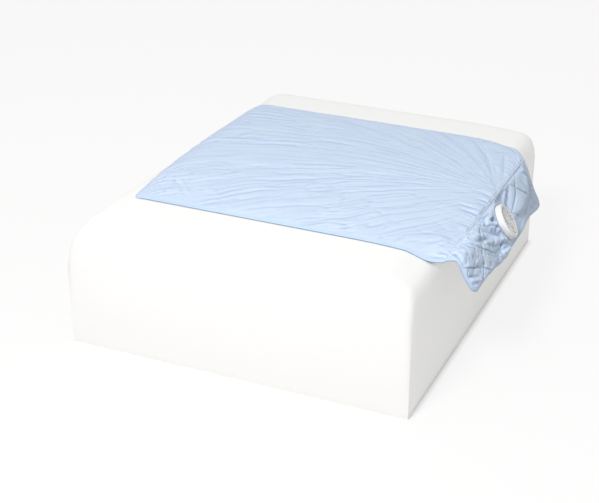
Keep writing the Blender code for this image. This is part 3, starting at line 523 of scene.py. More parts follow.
def panel_top(at):
    u, v = -LEFT - at[:, 0], np.clip(at[:, 1], -HALF, HALF)
    return panel_high(np.maximum(u, -LEFT), v)


panel_tape = folded_tape("panel_tape", panel_points, panel_ways, panel_place, panel_top, tape)
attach(panel_tape, "mat")
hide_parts("panel_binding")

# Stitches of the panel tape: white polyester thread, 4 mm a stitch, in one row 5 mm in from the edge.


def stitch_row(name, starts, ends, lifts, thickness, material):
    """Short rounded stitches from point to point, each a six-sided bead drawn out along the thread."""
    starts, ends, lifts = (np.asarray(part, float) for part in (starts, ends, lifts))
    along = ends - starts
    length = np.linalg.norm(along, axis=1, keepdims=True)
    along = along / length
    side = np.cross(lifts, along)
    side /= np.linalg.norm(side, axis=1, keepdims=True)
    rings = []
    for share, wide, raised in ((0.0, 0.35, -0.5), (0.22, 1.0, 0.45), (0.78, 1.0, 0.45), (1.0, 0.35, -0.5)):
        middle = starts + along * length * share + lifts * thickness * raised
        for k in range(6):
            turn = math.tau * k / 6
            rings.append(middle + thickness * wide * (math.cos(turn) * side + 0.8 * math.sin(turn) * lifts))
    points = np.stack(rings, axis=1)
    faces = [(6 * ring + k, 6 * ring + (k + 1) % 6, 6 * ring + 6 + (k + 1) % 6, 6 * ring + 6 + k)
             for ring in range(3) for k in range(6)]
    quads = np.concatenate([np.array(faces) + 24 * k for k in range(len(points))])
    caps = [[24 * k + j for j in range(5, -1, -1)] for k in range(len(points))]
    caps += [[24 * k + 18 + j for j in range(6)] for k in range(len(points))]
    made = made_up(name, points, quads.tolist() + caps, 50.0)
    made.data.materials.append(material)
    return made


def mottled(name, pattern, texture, colours, settings, gloss=None, relief=None, across="Object", **choices):
    """Material that runs between two colours with one texture, which may also dull and raise it."""
    made = new_material(name)
    where = node(made, "ShaderNodeTexCoord", {}).outputs[across]
    drawn = node(made, pattern, {"Vector": where, **texture}, **choices)
    share = drawn.outputs["Distance" if pattern == "ShaderNodeTexVoronoi" else "Fac"]
    tint = node(made, "ShaderNodeMix", {0: share, 6: srgb(colours[0]), 7: srgb(colours[1])}, data_type="RGBA")
    set_shader(made, {"Base Color": tint.outputs[2], **settings})
    if gloss:
        dull = node(made, "ShaderNodeMapRange", {"Value": share, 3: gloss[0], 4: gloss[1]})
        set_shader(made, {"Roughness": dull.outputs["Result"]})
    if relief:
        raised = node(made, "ShaderNodeBump", {"Height": share, "Strength": relief[0], "Distance": relief[1]})
        set_shader(made, {"Normal": raised.outputs["Normal"]})
    return made


# Spun polyester thread: near white with a slight sheen; its twist is drawn 1 mm apart.
thread = mottled("spun_polyester_thread", "ShaderNodeTexNoise", {"Scale": 1.0 / 0.001, "Detail": 1.0},
                 ("#D9E6F7", "#EFF5FC"), {"Roughness": 0.55, "Sheen Weight": 0.2})


def at_length(where, run, values):
    """Points at these lengths along a line."""
    return np.stack([np.interp(where, run, values[:, k]) for k in range(3)], axis=1)


def hem_stitches(points, ways, place, top, inset, pitch=0.0046):
    """Start, end and lift of each stitch of a row that runs a set distance inside a hem."""
    at = points + inset * ways
    line = place(at, top(at) + 0.0006)
    lift = place(at, top(at) + 0.0106) - line
    lift /= np.linalg.norm(lift, axis=1, keepdims=True)
    run = run_along(line)
    marks = np.arange(0.002, run[-1] - 0.004, pitch)
    starts, ends = at_length(marks, run, line), at_length(marks + 0.0034, run, line)
    return starts, ends, at_length(marks + 0.0017, run, lift)


panel_row = hem_stitches(panel_points, panel_ways, panel_place, panel_top, 0.0055)
panel_stitches = stitch_row("panel_stitches", *panel_row, 0.00045, thread)
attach(panel_stitches, "mat")

# Fold seam: a thin cord wrapped in a bias strip and sewn between the panel and the flap, so that the
# flap turns about it. The row of stitches draws the strip into small puckers.

PIPING_SIDES = 14
stations = np.linspace(-HALF - 0.0042, HALF + 0.0042, 420)
pucker = 1.0 + 0.10 * waves(stations / 0.0052, np.full_like(stations, 4.0))
rings = []
for k in range(PIPING_SIDES):
    turn = math.tau * k / PIPING_SIDES
    size = PIPING * pucker * (1.0 + 0.05 * waves(stations / 0.0035 + 9.0, np.full_like(stations, 0.7 * k)))
    rings.append(np.stack([SEAM_X + size * math.cos(turn), stations - drawn_in(stations, 1.0),
                           SEAM_Z + size * math.sin(turn)], axis=-1))
rings = np.stack(rings, axis=1)
flat = np.stack(np.meshgrid(stations, np.arange(PIPING_SIDES) * 0.0008, indexing="ij"), axis=-1)
seam_piping = made_up("seam_piping", rings, tube_faces(len(stations), PIPING_SIDES), 60.0, flat)

# Bias strip: the cover's own cloth stretched bright over the cord.
bias = mottled("stretched_nylon_bias_strip", "ShaderNodeTexNoise", {"Scale": 260.0, "Detail": 2.0},
               ("#DCE9FB", "#ECF4FE"), {"Roughness": 0.5, "Sheen Weight": 0.2}, relief=(0.3, 0.0004),
               across="UV")
seam_piping.data.materials.append(bias)
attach(seam_piping, "mat")
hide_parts("fold_seam")

# Flap cover: the same blue jersey, quilted in large diamonds over thin wadding. It hangs from the piped seam,
# is clamped round the fan, and the fan's weight drags it into deep folds on both sides.

ALONG = -0.008
YAW = math.radians(9.5)
ROLL = 0.014
SEAT = 0.059
DOWN = ROLL + SEAT
HEM_ROLL = 0.016
LONG = DOWN + SEAT + HEM_ROLL
SLOPE = math.radians(57.0)


def flap_share(v):
    drawn = 0.13 * smooth((0.33 - HALF - v) / 0.15)
    lobe = 0.05 * smooth((0.12 - HALF - v) / 0.12)
    return 1.0 - drawn + lobe + 0.25 * smooth((v + 0.245 - HALF) / 0.245)


def flap_slope(s, v):
    near = smooth((ALONG - SEAT - v) / (HALF + ALONG - SEAT))
    far = smooth((v - ALONG - SEAT) / (HALF - ALONG - SEAT))
    middle = SLOPE + (math.radians(86.0) - SLOPE) * smooth((s - DOWN - SEAT) / HEM_ROLL)
    middle = middle + (math.radians(84.0) - middle) * (1.0 - smooth(s / ROLL))
    hump = math.radians(-20.0) + (SLOPE + math.radians(20.0)) * smooth((s - 0.022) / 0.030)
    return middle + (hump - middle) * near + (math.radians(75.0) - middle) * far


def pocket(v):
    return 1.0 - smooth((np.abs(v - ALONG) - SEAT) / 0.075)


FALL_STEP = 0.0005
fall_s = np.linspace(0.0, 0.21, 421)
fall_v = np.linspace(-HALF - 0.01, HALF + 0.01, 345)
fall_angle = flap_slope(fall_s[:, None] + 0.0 * fall_v, fall_v[None, :] + 0.0 * fall_s[:, None])
half_angle = flap_slope((fall_s[:-1, None] + FALL_STEP / 2) + 0.0 * fall_v,
                        fall_v[None, :] + 0.0 * fall_s[:-1, None])
fall_x = np.vstack([np.zeros_like(fall_v), np.cumsum(np.cos(half_angle) * FALL_STEP, axis=0)])
fall_z = np.vstack([np.zeros_like(fall_v), np.cumsum(np.sin(half_angle) * FALL_STEP, axis=0)])


def from_table(table, s, v):
    """Value of a table of the flap's fall between its stations."""
    a = np.clip(s / FALL_STEP, 0.0, len(fall_s) - 1.001)
    b = np.clip((v - fall_v[0]) / (fall_v[1] - fall_v[0]), 0.0, len(fall_v) - 1.001)
    i, j = a.astype(int), b.astype(int)
    a, b = a - i, b - j
    return ((table[i, j] * (1 - a) + table[i + 1, j] * a) * (1 - b)
            + (table[i, j + 1] * (1 - a) + table[i + 1, j + 1] * a) * b)


def on_flap(s, v, h):
    """Points of the hanging flap; the fan's weight turns its seat, out at one side and in at the other."""
    length = s * flap_share(v)
    start = flap_slope(np.zeros_like(v), v)
    angle = from_table(fall_angle, length, v)
    short = np.minimum(length, 0.0)
    x = SEAM_X + (REACH + short) * np.cos(start) + from_table(fall_x, length, v)
    z = SEAM_Z - (REACH + short) * np.sin(start) - from_table(fall_z, length, v)
    held = smooth(length / ROLL) * (1.0 - smooth((length - DOWN - SEAT) / HEM_ROLL))
    held = held * (1.0 - smooth((np.abs(v - ALONG) - SEAT) / 0.12))
    turn = math.tan(YAW) * (ALONG - v) * held
    lift = (h - PIPING) * (1.0 + (1.0 / math.cos(YAW) - 1.0) * pocket(v)) + turn
    lobe = 0.024 * smooth(s / 0.10) * smooth((-0.28 - v) / 0.145)
    along = v - drawn_in(v, 1.0 - (np.clip(s, 0.0, 0.15) / 0.15) ** 1.4) - lobe
    return np.stack([x + lift * np.sin(angle), along, z + lift * np.cos(angle)], axis=-1)


def flap_swell(s, v):
    across = np.minimum(round_over(s, ROLL), round_over(LONG - s, HEM_ROLL))
    return across * round_over(HALF - np.abs(v), 0.030)


def flap_low(s, v):
    full = TOP_LOW + (0.0085 - TOP_LOW) * pocket(v)
    return HEM_LOW + (full - HEM_LOW) * flap_swell(s, v)


FOLDS = (
    ([(-132, 24), (-82, 64), (-30, 104)], 9.5, 10), ([(-168, 26), (-120, 62), (-92, 84)], -6.0, 9),
    ([(-150, 84), (-100, 92), (-62, 108), (-20, 122)], 11.0, 11),
    ([(-45, 130), (-135, 112), (-178, 116)], -6.0, 8),
    ([(-134, 124), (-104, 126), (-66, 130)], 10.0, 12), ([(-306, 20), (-262, 66), (-172, 116)], 3.0, 10),
    ([(-270, 40), (-165, 60)], -4.5, 9), ([(-262, 26), (-185, 42)], 4.5, 9),
    ([(-215, 60), (-150, 82)], 5.0, 8),
    ([(-420, 92), (-362, 126)], -3.0, 6), ([(-424, 108), (-366, 138)], 4.0, 7),
    ([(-420, 66), (-352, 100)], 2.5, 8),
    ([(-392, 16), (-425, 48)], -5.0, 7), ([(-406, 8), (-428, 34)], 5.0, 6),
    ([(-350, 90), (-330, 132)], -2.5, 6),
    ([(-380, 30), (-340, 60)], 2.0, 8), ([(-330, 30), (-300, 74)], -3.0, 6),
    ([(365, 2), (312, 46), (282, 74), (210, 86), (80, 94)], 15.0, 16),
    ([(340, 16), (250, 52), (100, 66)], 10.0, 30),
    ([(405, 50), (350, 96), (255, 114), (110, 130)], -6.0, 14), ([(156, 12), (124, 34), (92, 62)], -6.0, 8),
    ([(134, 4), (104, 24), (76, 48)], 5.0, 8), ([(86, 2), (56, 12)], -5.0, 6),
    ([(372, 146), (300, 142)], 6.0, 9),
    ([(400, 116), (350, 142), (280, 146)], 6.0, 10), ([(412, 30), (392, 96), (360, 120)], 5.0, 9),
    ([(-56, 22), (-116, 18)], 5.0, 6), ([(-60, 32), (-112, 30)], -5.0, 5), ([(-62, 43), (-104, 43)], 4.5, 6),
    ([(-64, 52), (-108, 54)], -4.5, 5), ([(-66, 62), (-100, 66)], 4.0, 6), ([(-70, 8), (-150, 6)], -4.0, 5))


# The two sets of stitch lines: where one of them meets the seam, how far it leans along the seam, their
# spacing, and the number of the first line.
QUILTING = ((-0.110, -1.76, 0.177, 0), (-0.163, 1.30, 0.155, -2))


def bowed(s, v):
    """How far the near stitch lines bow towards the near end, half-way down."""
    return 0.033 * np.sin(math.pi * np.clip(s / 0.11, 0.0, 1.0)) * smooth((-0.10 - v) / 0.08)


def flap_high(s, v):
    """Outer side of the quilted cover: diamonds between crossed stitch lines, folds and crinkles."""
    one, two = (np.sin(math.pi * np.maximum((v + bowed(s, v) - start - lean * s) / pitch, first - 0.5))
                for start, lean, pitch, first in QUILTING)
    swell = flap_swell(s, v)
    puff = 0.0035 * np.sqrt(np.abs(one * two)) * (1.0 - pocket(v)) * swell
    away = np.hypot(v - ALONG, s - DOWN)
    clear = smooth((away - 0.0565) / 0.036)
    upper = smooth(0.5 + 0.9 * ((ALONG - v) + 0.6 * (DOWN - s)) / np.maximum(away, 1e-6))
    ring = np.exp(-(np.maximum(away - 0.058, 0.0) / 0.014) ** 2)
    ruff = 0.0036 * upper * smooth((away - 0.0547) / 0.0022) * ring
    sewn = np.sqrt(np.clip(np.minimum(np.abs(one), np.abs(two)) * 4.0, 0.0, 1.0))
    rough = 0.0020 * waves(v / 0.026 + 3.0, s / 0.018 + 8.0)
    rough = rough + 0.0011 * waves(v / 0.011 + 33.0, s / 0.010 + 12.0)
    far = smooth(v / 0.08)
    rough = rough * (1.0 - 0.65 * far)
    crinkle = np.exp(-(waves((v - s) / 0.050 + 63.0, (v + s) / 0.016 + 18.0) / 0.20) ** 2)
    rough = rough - 0.0016 * crinkle * (1.0 - 0.7 * far)
    rough = rough - 0.0034 * (np.exp(-(one / 0.09) ** 2) + np.exp(-(two / 0.09) ** 2)) * (1.0 - 0.8 * far)
    gather = 0.0024 * np.exp(-s / 0.022) * waves(v / 0.011 + 44.0, s / 0.05)
    edges = smooth(s / 0.006) * smooth((LONG - s) / 0.010) * smooth((HALF - np.abs(v)) / 0.010)
    least = HEM_LOW + COVER + 0.0012 * swell
    drawn = pulled(FOLDS, v, s) * (1.0 + 0.5 * smooth(-v / 0.04)) * (0.6 + 0.4 * sewn)
    rise = flap_low(s, v) + COVER + puff + (drawn + rough + gather) * clear * edges - least
    return least + soft_floor(rise) + ruff


def rounded_flap(s, v):
    gap, v = rounded(LONG - s, v)
    return LONG - gap, v


flap_s = np.linspace(-0.0008, LONG, 105)
fine = (ALONG - 0.075, ALONG + 0.075)
flap_v = np.concatenate([np.linspace(-HALF, fine[0], 193)[:-1], np.linspace(*fine, 121)[:-1],
                         np.linspace(fine[1], HALF, 177)])
grid_s, grid_w = np.meshgrid(flap_s, flap_v, indexing="ij")
hang_s, hang_v = rounded_flap(grid_s, grid_w)
outer = flap_high(grid_s, grid_w)
within = lowest_near(outer, 4) - 0.0008
flap_cover = cloth_layer("flap_cover", on_flap(hang_s, hang_v, outer),
                         on_flap(hang_s[::4, ::4], hang_v[::4, ::4], within),
                         np.stack([grid_s, grid_w], axis=-1))
flap_cover.data.materials.append(jersey)
mark_crease_shade(flap_cover, outer, (7, 6), 0.0030)

# The fan's place: its own axis stands square to the seat, which is turned away from the near end.
FAN = (Matrix.Translation((0.573433, ALONG, -0.079784)) @ Matrix.Rotation(SLOPE, 4, "Y")
       @ Matrix.Rotation(-YAW, 4, "X"))


def cut_or_join(target, tool, operation):
    """Applies one exact boolean and removes its tool."""
    pick(target)
    step = target.modifiers.new("shape", "BOOLEAN")
    step.operation = operation
    step.solver = "EXACT"
    step.object = tool
    bpy.ops.object.modifier_apply(modifier="shape")
    bpy.data.objects.remove(tool)


def punch(target, radius, low, high_end):
    """Cuts a round hole about the fan's axis."""
    bpy.ops.mesh.primitive_cylinder_add(vertices=96, radius=radius, depth=high_end - low,
                                        location=(0, 0, (low + high_end) / 2))
    drill = bpy.context.object
    drill.matrix_world = FAN @ drill.matrix_world
    cut_or_join(target, drill, "DIFFERENCE")


punch(flap_cover, 0.0419, 0.0018, 0.03)
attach(flap_cover, "flap")
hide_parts("flap_outer_cover")

# Flap spacer and backing: the same open knit and plain cloth as in the panel, cut to the flap. The spacer is
# open round the fan's clamp.

rough_s, rough_v = grid_s[::4, ::4], grid_w[::4, ::4]
inner = (slice(3, -4), slice(7, -7))
core_top = np.maximum(np.minimum(within - 0.0004, flap_low(rough_s, rough_v) - 0.0003)[inner], 0.0026)
flap_spacer = cloth_layer("flap_spacer", on_flap(rough_s[inner], rough_v[inner], core_top),
                          on_flap(rough_s[inner], rough_v[inner], np.full_like(core_top, 0.0018)),
                          np.stack([rough_s[inner], rough_v[inner]], axis=-1))
flap_spacer.data.materials.append(spacer)
punch(flap_spacer, 0.0523, -0.005, 0.03)
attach(flap_spacer, "flap")
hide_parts("flap_core")

even = np.linspace(-0.0008, LONG, 40)
wide = np.linspace(-HALF, HALF, 160)
even, wide = np.meshgrid(even, wide, indexing="ij")
flat_s, flat_v = rounded_flap(even, wide)
flap_backing = cloth_layer("flap_backing", on_flap(flat_s, flat_v, np.full_like(flat_s, COVER)),
                           on_flap(flat_s, flat_v, np.zeros_like(flat_s)), np.stack([even, wide], axis=-1))
flap_backing.data.materials.append(woven)
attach(flap_backing, "flap")
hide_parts("flap_inner_cover")

# Flap tape and stitches: the panel's folded tape, carried round the flap's three free edges.

flap_points, flap_ways = hem_stations(-LONG, -HALF, HALF, CORNER, 0.004)


def flap_place(at, h):
    return on_flap(*rounded_flap(LONG + at[:, 0], at[:, 1]), h)


def flap_top(at):
    return flap_high(np.clip(LONG + at[:, 0], 0.0, LONG), np.clip(at[:, 1], -HALF, HALF))


flap_tape = folded_tape("flap_tape", flap_points, flap_ways, flap_place, flap_top, tape)
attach(flap_tape, "flap")
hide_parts("flap_binding")
flap_row = hem_stitches(flap_points, flap_ways, flap_place, flap_top, 0.0055)
flap_stitches = stitch_row("flap_stitches", *flap_row, 0.00045, thread)
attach(flap_stitches, "flap")

# Quilting thread: single rows of long stitches that cross the flap both ways and hold its layers together.

begins, finishes, lifts = [], [], []
for start, lean, pitch, first in QUILTING:
    for k in range(first, 6):
        s = np.linspace(0.004, LONG - 0.010, 240)
        v = straight = start + k * pitch + lean * s
        for _ in range(30):
            v = 0.5 * (v + straight - bowed(s, v))
        keep = (np.abs(v) < HALF - 0.012) & (np.hypot(v - ALONG, s - DOWN) > 0.060)
        if keep.sum() < 12:
            continue
        s, v = s[keep], v[keep]
        line = on_flap(s, v, flap_high(s, v) + 0.0002)
        lift = on_flap(s, v, flap_high(s, v) + 0.0102) - line
        lift /= np.linalg.norm(lift, axis=1, keepdims=True)
        run = run_along(line)
        marks = np.arange(0.0, run[-1] - 0.004, 0.0050)
        marks = marks[np.interp(marks + 0.0018, run, np.append(np.diff(run), 0.0)) < 0.004]
        begins.append(at_length(marks, run, line))
        finishes.append(at_length(marks + 0.0036, run, line))
        lifts.append(at_length(marks, run, lift))
quilt_stitches = stitch_row("quilt_stitches", np.concatenate(begins), np.concatenate(finishes),
                            np.concatenate(lifts), 0.0005, thread)
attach(quilt_stitches, "flap")

# Fan case: white ABS, moulded in one piece as a barrel, a flange and an outer wall with a stepped rim.
# Four bosses inside take the clamp screws, and a hole in the wall takes the power socket.

RIM = 0.0545
WALL = 0.002
FLANGE = 0.0116
SPLIT = 0.022
FACE = 0.0306
BARREL = 0.0388
BORE = 0.037
REAR = 0.0037
STEP = RIM - WALL - 0.0003
FLOOR = FLANGE + WALL
SCREWS = 0.0467


def turned_part(name, steps, sides=96):
    """Round part raised from one circle: each step draws the rim on to the next radius and height."""
    radius, height = steps[0]
    whole = steps[0] == steps[-1]
    bpy.ops.mesh.primitive_circle_add(vertices=sides, radius=radius, fill_type="NOTHING" if whole else "NGON")
    made = bpy.context.object
    made.name = made.data.name = name
    bpy.ops.object.mode_set(mode="EDIT")
    bpy.ops.mesh.select_all(action="SELECT")
    bpy.ops.transform.translate(value=(0.0, 0.0, height))
    for r, z in steps[1:]:
        bpy.ops.mesh.extrude_region_move(TRANSFORM_OT_translate={"value": (0.0, 0.0, z - height)})
        bpy.ops.transform.resize(value=(r / radius, r / radius, 1.0), center_override=(0.0, 0.0, 0.0))
        radius, height = r, z
    bpy.ops.mesh.select_all(action="SELECT")
    bpy.ops.mesh.remove_doubles(threshold=1e-6)
    bpy.ops.mesh.normals_make_consistent(inside=False)
    bpy.ops.object.mode_set(mode="OBJECT")
    return made


def round_tool(target, radius, depth, spot, sides, operation="DIFFERENCE"):
    """Cuts a round hole in a part that lies on the drawing board, or joins a round boss to it."""
    bpy.ops.mesh.primitive_cylinder_add(vertices=sides, radius=radius, depth=depth, location=spot)
    cut_or_join(target, bpy.context.object, operation)


def ease_edges(made, width):
    """Breaks the sharp edges of a moulding."""
    pick(made)
    soft = made.modifiers.new("edges", "BEVEL")
    soft.width = width
    soft.segments = 2
    soft.limit_method = "ANGLE"
    soft.angle_limit = math.radians(40.0)
    bpy.ops.object.modifier_apply(modifier="edges")


def set_on_fan(made, at=(0.0, 0.0, 0.0)):
    """Moves a finished part from the drawing board to its place on the fan's axis."""
    made.matrix_world = FAN @ Matrix.Translation(at) @ made.matrix_world
    pick(made)
    bpy.ops.object.transform_apply(location=True, rotation=True, scale=True)
    bpy.ops.object.shade_smooth_by_angle(angle=math.radians(32.0))


case_steps = [(BORE, REAR), (BARREL, REAR), (BARREL, FLANGE), (RIM - 0.0016, FLANGE),
              (RIM - 0.0005, FLANGE + 0.0005), (RIM, FLANGE + 0.0016), (RIM, SPLIT), (STEP, SPLIT),
              (STEP, SPLIT + 0.0018), (STEP - 0.0015, SPLIT + 0.0018), (STEP - 0.0015, FLOOR),
              (BARREL, FLOOR), (BARREL, SPLIT), (BORE, SPLIT), (BORE, REAR)]
fan_case = turned_part("fan_case", case_steps, 128)
for radius, low_end, high_end, operation in ((0.0032, 0.001, 0.0078, "UNION"),
                                             (0.0017, -0.002, 0.0065, "DIFFERENCE")):
    for k in range(4):
        turn = math.tau * (k + 0.25) / 4
        spot = (SCREWS * math.cos(turn), SCREWS * math.sin(turn), FLANGE + (low_end + high_end) / 2)
        round_tool(fan_case, radius, high_end - low_end, spot, 24, operation)
bpy.ops.mesh.primitive_cylinder_add(vertices=32, radius=0.0033, depth=0.012)
drill = bpy.context.object
drill.matrix_world = (Matrix.Rotation(math.radians(45.0), 4, "Z")
                      @ Matrix.Translation((RIM - 0.002, 0.0, 0.0172))
                      @ Matrix.Rotation(math.radians(90.0), 4, "Y"))
cut_or_join(fan_case, drill, "DIFFERENCE")
ease_edges(fan_case, 0.0003)
set_on_fan(fan_case)

# Moulded white ABS: a fine spark texture that keeps it satin, with faint cloudy shading and dulled patches.
# Real grit is about 0.05 mm; it is drawn at 0.5 mm.
abs_white = mottled("moulded_white_abs", "ShaderNodeTexNoise", {"Scale": 45.0, "Detail": 3.0},
                    ("#EDEEEF", "#F8F8F7"), {"IOR": 1.54}, gloss=(0.34, 0.46))
spot = node(abs_white, "ShaderNodeTexCoord", {}).outputs["Object"]
grit = node(abs_white, "ShaderNodeTexNoise", {"Vector": spot, "Scale": 1.0 / 0.0005, "Detail": 1.0})
spark = node(abs_white, "ShaderNodeBump",
             {"Height": grit.outputs["Fac"], "Strength": 0.12, "Distance": 0.0001})
set_shader(abs_white, {"Normal": spark.outputs["Normal"]})
fan_case.data.materials.append(abs_white)
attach(fan_case, "flap")
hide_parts("fan_housing")

# Fan mounting: a die-cut foam gasket under the flange and a grey ABS ring behind the cloth, drawn together
# by four self-tapping screws.


def finish_node(name, material):
    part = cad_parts[name]
    part.data.materials.clear()
    part.data.materials.append(material)


# Closed-cell foam: soft black with open cut cells about 0.6 mm across, dead matt.
foam = mottled("closed_cell_foam_rubber", "ShaderNodeTexVoronoi", {"Scale": 1.0 / 0.0006},
               ("#17181A", "#33353A"), {"Roughness": 0.92}, relief=(0.6, 0.0002))
finish_node("gasket", foam)

# Moulded grey ABS: flat grey with a satin skin and slight flow marks some 8 mm apart.
abs_grey = mottled("moulded_grey_abs", "ShaderNodeTexNoise",
                   {"Scale": 1.0 / 0.008, "Detail": 2.0, "Distortion": 1.2},
                   ("#BEC1C5", "#CDD0D3"), {"IOR": 1.54}, gloss=(0.36, 0.5))
for name in ("clamp_ring", "impeller"):
    finish_node(name, abs_grey)

# Zinc-plated steel: bright plate with a faint blue cast, turned marks 0.4 mm apart.
zinc = mottled("zinc_plated_steel", "ShaderNodeTexNoise", {"Scale": 1.0 / 0.0004, "Detail": 2.0},
               ("#B4B8BE", "#D2D5D9"), {"Metallic": 1.0}, gloss=(0.22, 0.42))
for name in ("clamp_screw_1", "clamp_screw_2", "clamp_screw_3", "clamp_screw_4", "motor_shaft"):
    finish_node(name, zinc)

# Motor: a white bracket pressed in the barrel, a bronze bearing, a wound core and its lead; the impeller
# turns over them on a steel shaft, with a ferrite ring moulded in its hub.

finish_node("motor_bracket", abs_white)

# Sintered bronze: warm brown-yellow with dark oil pores about 0.3 mm apart.
sintered = mottled("sintered_bronze", "ShaderNodeTexVoronoi", {"Scale": 1.0 / 0.0003}, ("#6B5330", "#C6A063"),
                   {"Metallic": 1.0, "Roughness": 0.45})
finish_node("motor_bearing", sintered)

# Enamelled copper: glossy red-brown wire laid side by side, 0.35 mm thick.
winding = mottled("enamelled_copper_winding", "ShaderNodeTexWave",
                  {"Scale": WAVE / 0.00035, "Distortion": 0.5},
                  ("#7C3B1C", "#D08350"), {"Metallic": 1.0, "Roughness": 0.3}, relief=(0.6, 0.0002),
                  bands_direction="Z")
finish_node("stator", winding)

# Moulded ferrite: charcoal, dull, with a fine dark speckle 0.5 mm across.
ferrite = mottled("moulded_ferrite", "ShaderNodeTexNoise", {"Scale": 1.0 / 0.0005, "Detail": 2.0},
                  ("#2A2B2E", "#46484C"), {"Roughness": 0.6})
finish_node("rotor_magnet", ferrite)

# Controls: a small green board held down by the cover's posts, with two black push switches. The lead and the
# power socket are black nylon too.

# Solder mask: glossy green over copper tracks, drawn as straight lanes 1.6 mm apart.
mask = new_material("green_solder_mask")
spot = node(mask, "ShaderNodeTexCoord", {}).outputs["Object"]
lanes = node(mask, "ShaderNodeTexBrick", {"Vector": spot, "Color1": srgb("#1E6B3A"),
                                          "Color2": srgb("#237844"), "Mortar": srgb("#17552F"),
                                          "Scale": 1.0, "Mortar Size": 0.0002, "Brick Width": 0.009,
                                          "Row Height": 0.0016})
step = node(mask, "ShaderNodeBump", {"Height": lanes.outputs["Fac"], "Strength": 0.3, "Distance": 0.0001},
            invert=True)
set_shader(mask, {"Base Color": lanes.outputs["Color"], "Normal": step.outputs["Normal"], "Roughness": 0.3})
finish_node("control_board", mask)

# Black nylon: near-black with a dry satin skin and pale rubbed specks 1 mm apart.
nylon = mottled("moulded_black_nylon", "ShaderNodeTexNoise", {"Scale": 1.0 / 0.001, "Detail": 3.0},
                ("#1B1C1E", "#303236"), {}, gloss=(0.4, 0.58))
for name in ("power_switch", "speed_switch", "motor_lead", "dc_socket"):
    finish_node(name, nylon)

# Front cover: a shallow white ABS dish with a raised round rim, snapped over the case. Three rings of short
# slots let the air in through a thinned plate, and the lower part is left plain round the two push buttons.

rim_steps = [(0.83 * RIM, FACE), (0.850 * RIM, FACE + 0.0007), (0.875 * RIM, FACE + 0.0015),
             (0.905 * RIM, FACE + 0.0015), (0.94 * RIM, FACE + 0.0007), (0.968 * RIM, FACE - 0.0006),
             (0.988 * RIM, FACE - 0.0022), (0.998 * RIM, FACE - 0.0040), (RIM, FACE - 0.0052),
             (RIM, SPLIT + 0.0003)]
bpy.ops.mesh.primitive_circle_add(vertices=128, radius=0.25 * RIM, fill_type="TRIFAN",
                                  location=(0.0, 0.0, FACE))
front_cover = bpy.context.object
front_cover.name = front_cover.data.name = "front_cover"
bpy.ops.object.transform_apply(location=True, rotation=True, scale=True)
bpy.ops.object.mode_set(mode="EDIT")
bpy.ops.mesh.select_mode(type="EDGE")
bpy.ops.mesh.select_all(action="SELECT")
bpy.ops.mesh.region_to_loop()
radius, height = 0.25 * RIM, FACE
for r, z in rim_steps:
    bpy.ops.mesh.extrude_edges_move(TRANSFORM_OT_translate={"value": (0.0, 0.0, z - height)})
    bpy.ops.transform.resize(value=(r / radius, r / radius, 1.0), center_override=(0.0, 0.0, 0.0))
    radius, height = r, z
bpy.ops.mesh.select_all(action="SELECT")
bpy.ops.mesh.normals_make_consistent(inside=False)
bpy.ops.mesh.select_mode(type="VERT")
bpy.ops.object.mode_set(mode="OBJECT")
shell = front_cover.modifiers.new("shell", "SOLIDIFY")
shell.thickness = WALL
shell.offset = -1.0
shell.use_even_offset = True
bpy.ops.object.modifier_apply(modifier="shell")

slot_tools = []
for near, far, wide in ((0.30, 0.43, 0.0030), (0.47, 0.605, 0.0044), (0.645, 0.80, 0.0064)):
    bpy.ops.mesh.primitive_cylinder_add(vertices=18, radius=wide / 2, depth=0.008,
                                        rotation=(0.0, 0.0, math.radians(10.0)))
    master = bpy.context.object
    bpy.ops.object.transform_apply(location=False, rotation=True, scale=False)
    bpy.ops.object.mode_set(mode="EDIT")
    bpy.ops.mesh.select_all(action="DESELECT")
    drawn = bmesh.from_edit_mesh(master.data)
    for vert in drawn.verts:
        vert.select_set(vert.co.x > 0.0)
    bpy.ops.transform.translate(value=((far - near) * RIM - wide, 0.0, 0.0))
    bpy.ops.object.mode_set(mode="OBJECT")
    for k in range(24):
        if min(k, 24 - k) * 15.0 < 62.0:
            continue
        copy = bpy.data.objects.new(f"slot_{k}", master.data.copy())
        copy.matrix_world = (Matrix.Rotation(math.tau * k / 24, 4, "Z")
                             @ Matrix.Translation((near * RIM + wide / 2, 0.0, FACE - 0.001)))
        bpy.context.collection.objects.link(copy)
        slot_tools.append(copy)
    bpy.data.objects.remove(master)


def joined(parts):
    pick(parts[0])
    for part in parts:
        part.select_set(True)
    bpy.ops.object.join()
    return bpy.context.object


cut_or_join(front_cover, joined(slot_tools), "DIFFERENCE")


def slot_ring(name, inner, outer, low, high_end, clear):
    """Flat ring behind the slots, with a square part over the controls left out."""
    made = turned_part(name, [(inner, low), (outer, low), (outer, high_end), (inner, high_end),
                              (inner, low)], 96)
    bpy.ops.mesh.primitive_cube_add(size=1.0, location=(0.0335, -0.004, FACE))
    bpy.context.object.scale = (*clear, 0.02)
    cut_or_join(made, bpy.context.object, "DIFFERENCE")
    return made


recess = slot_ring("recess", 0.0144, 0.0448, FACE - 0.004, FACE - 0.0009, (0.0450, 0.0396))
cut_or_join(front_cover, recess, "DIFFERENCE")

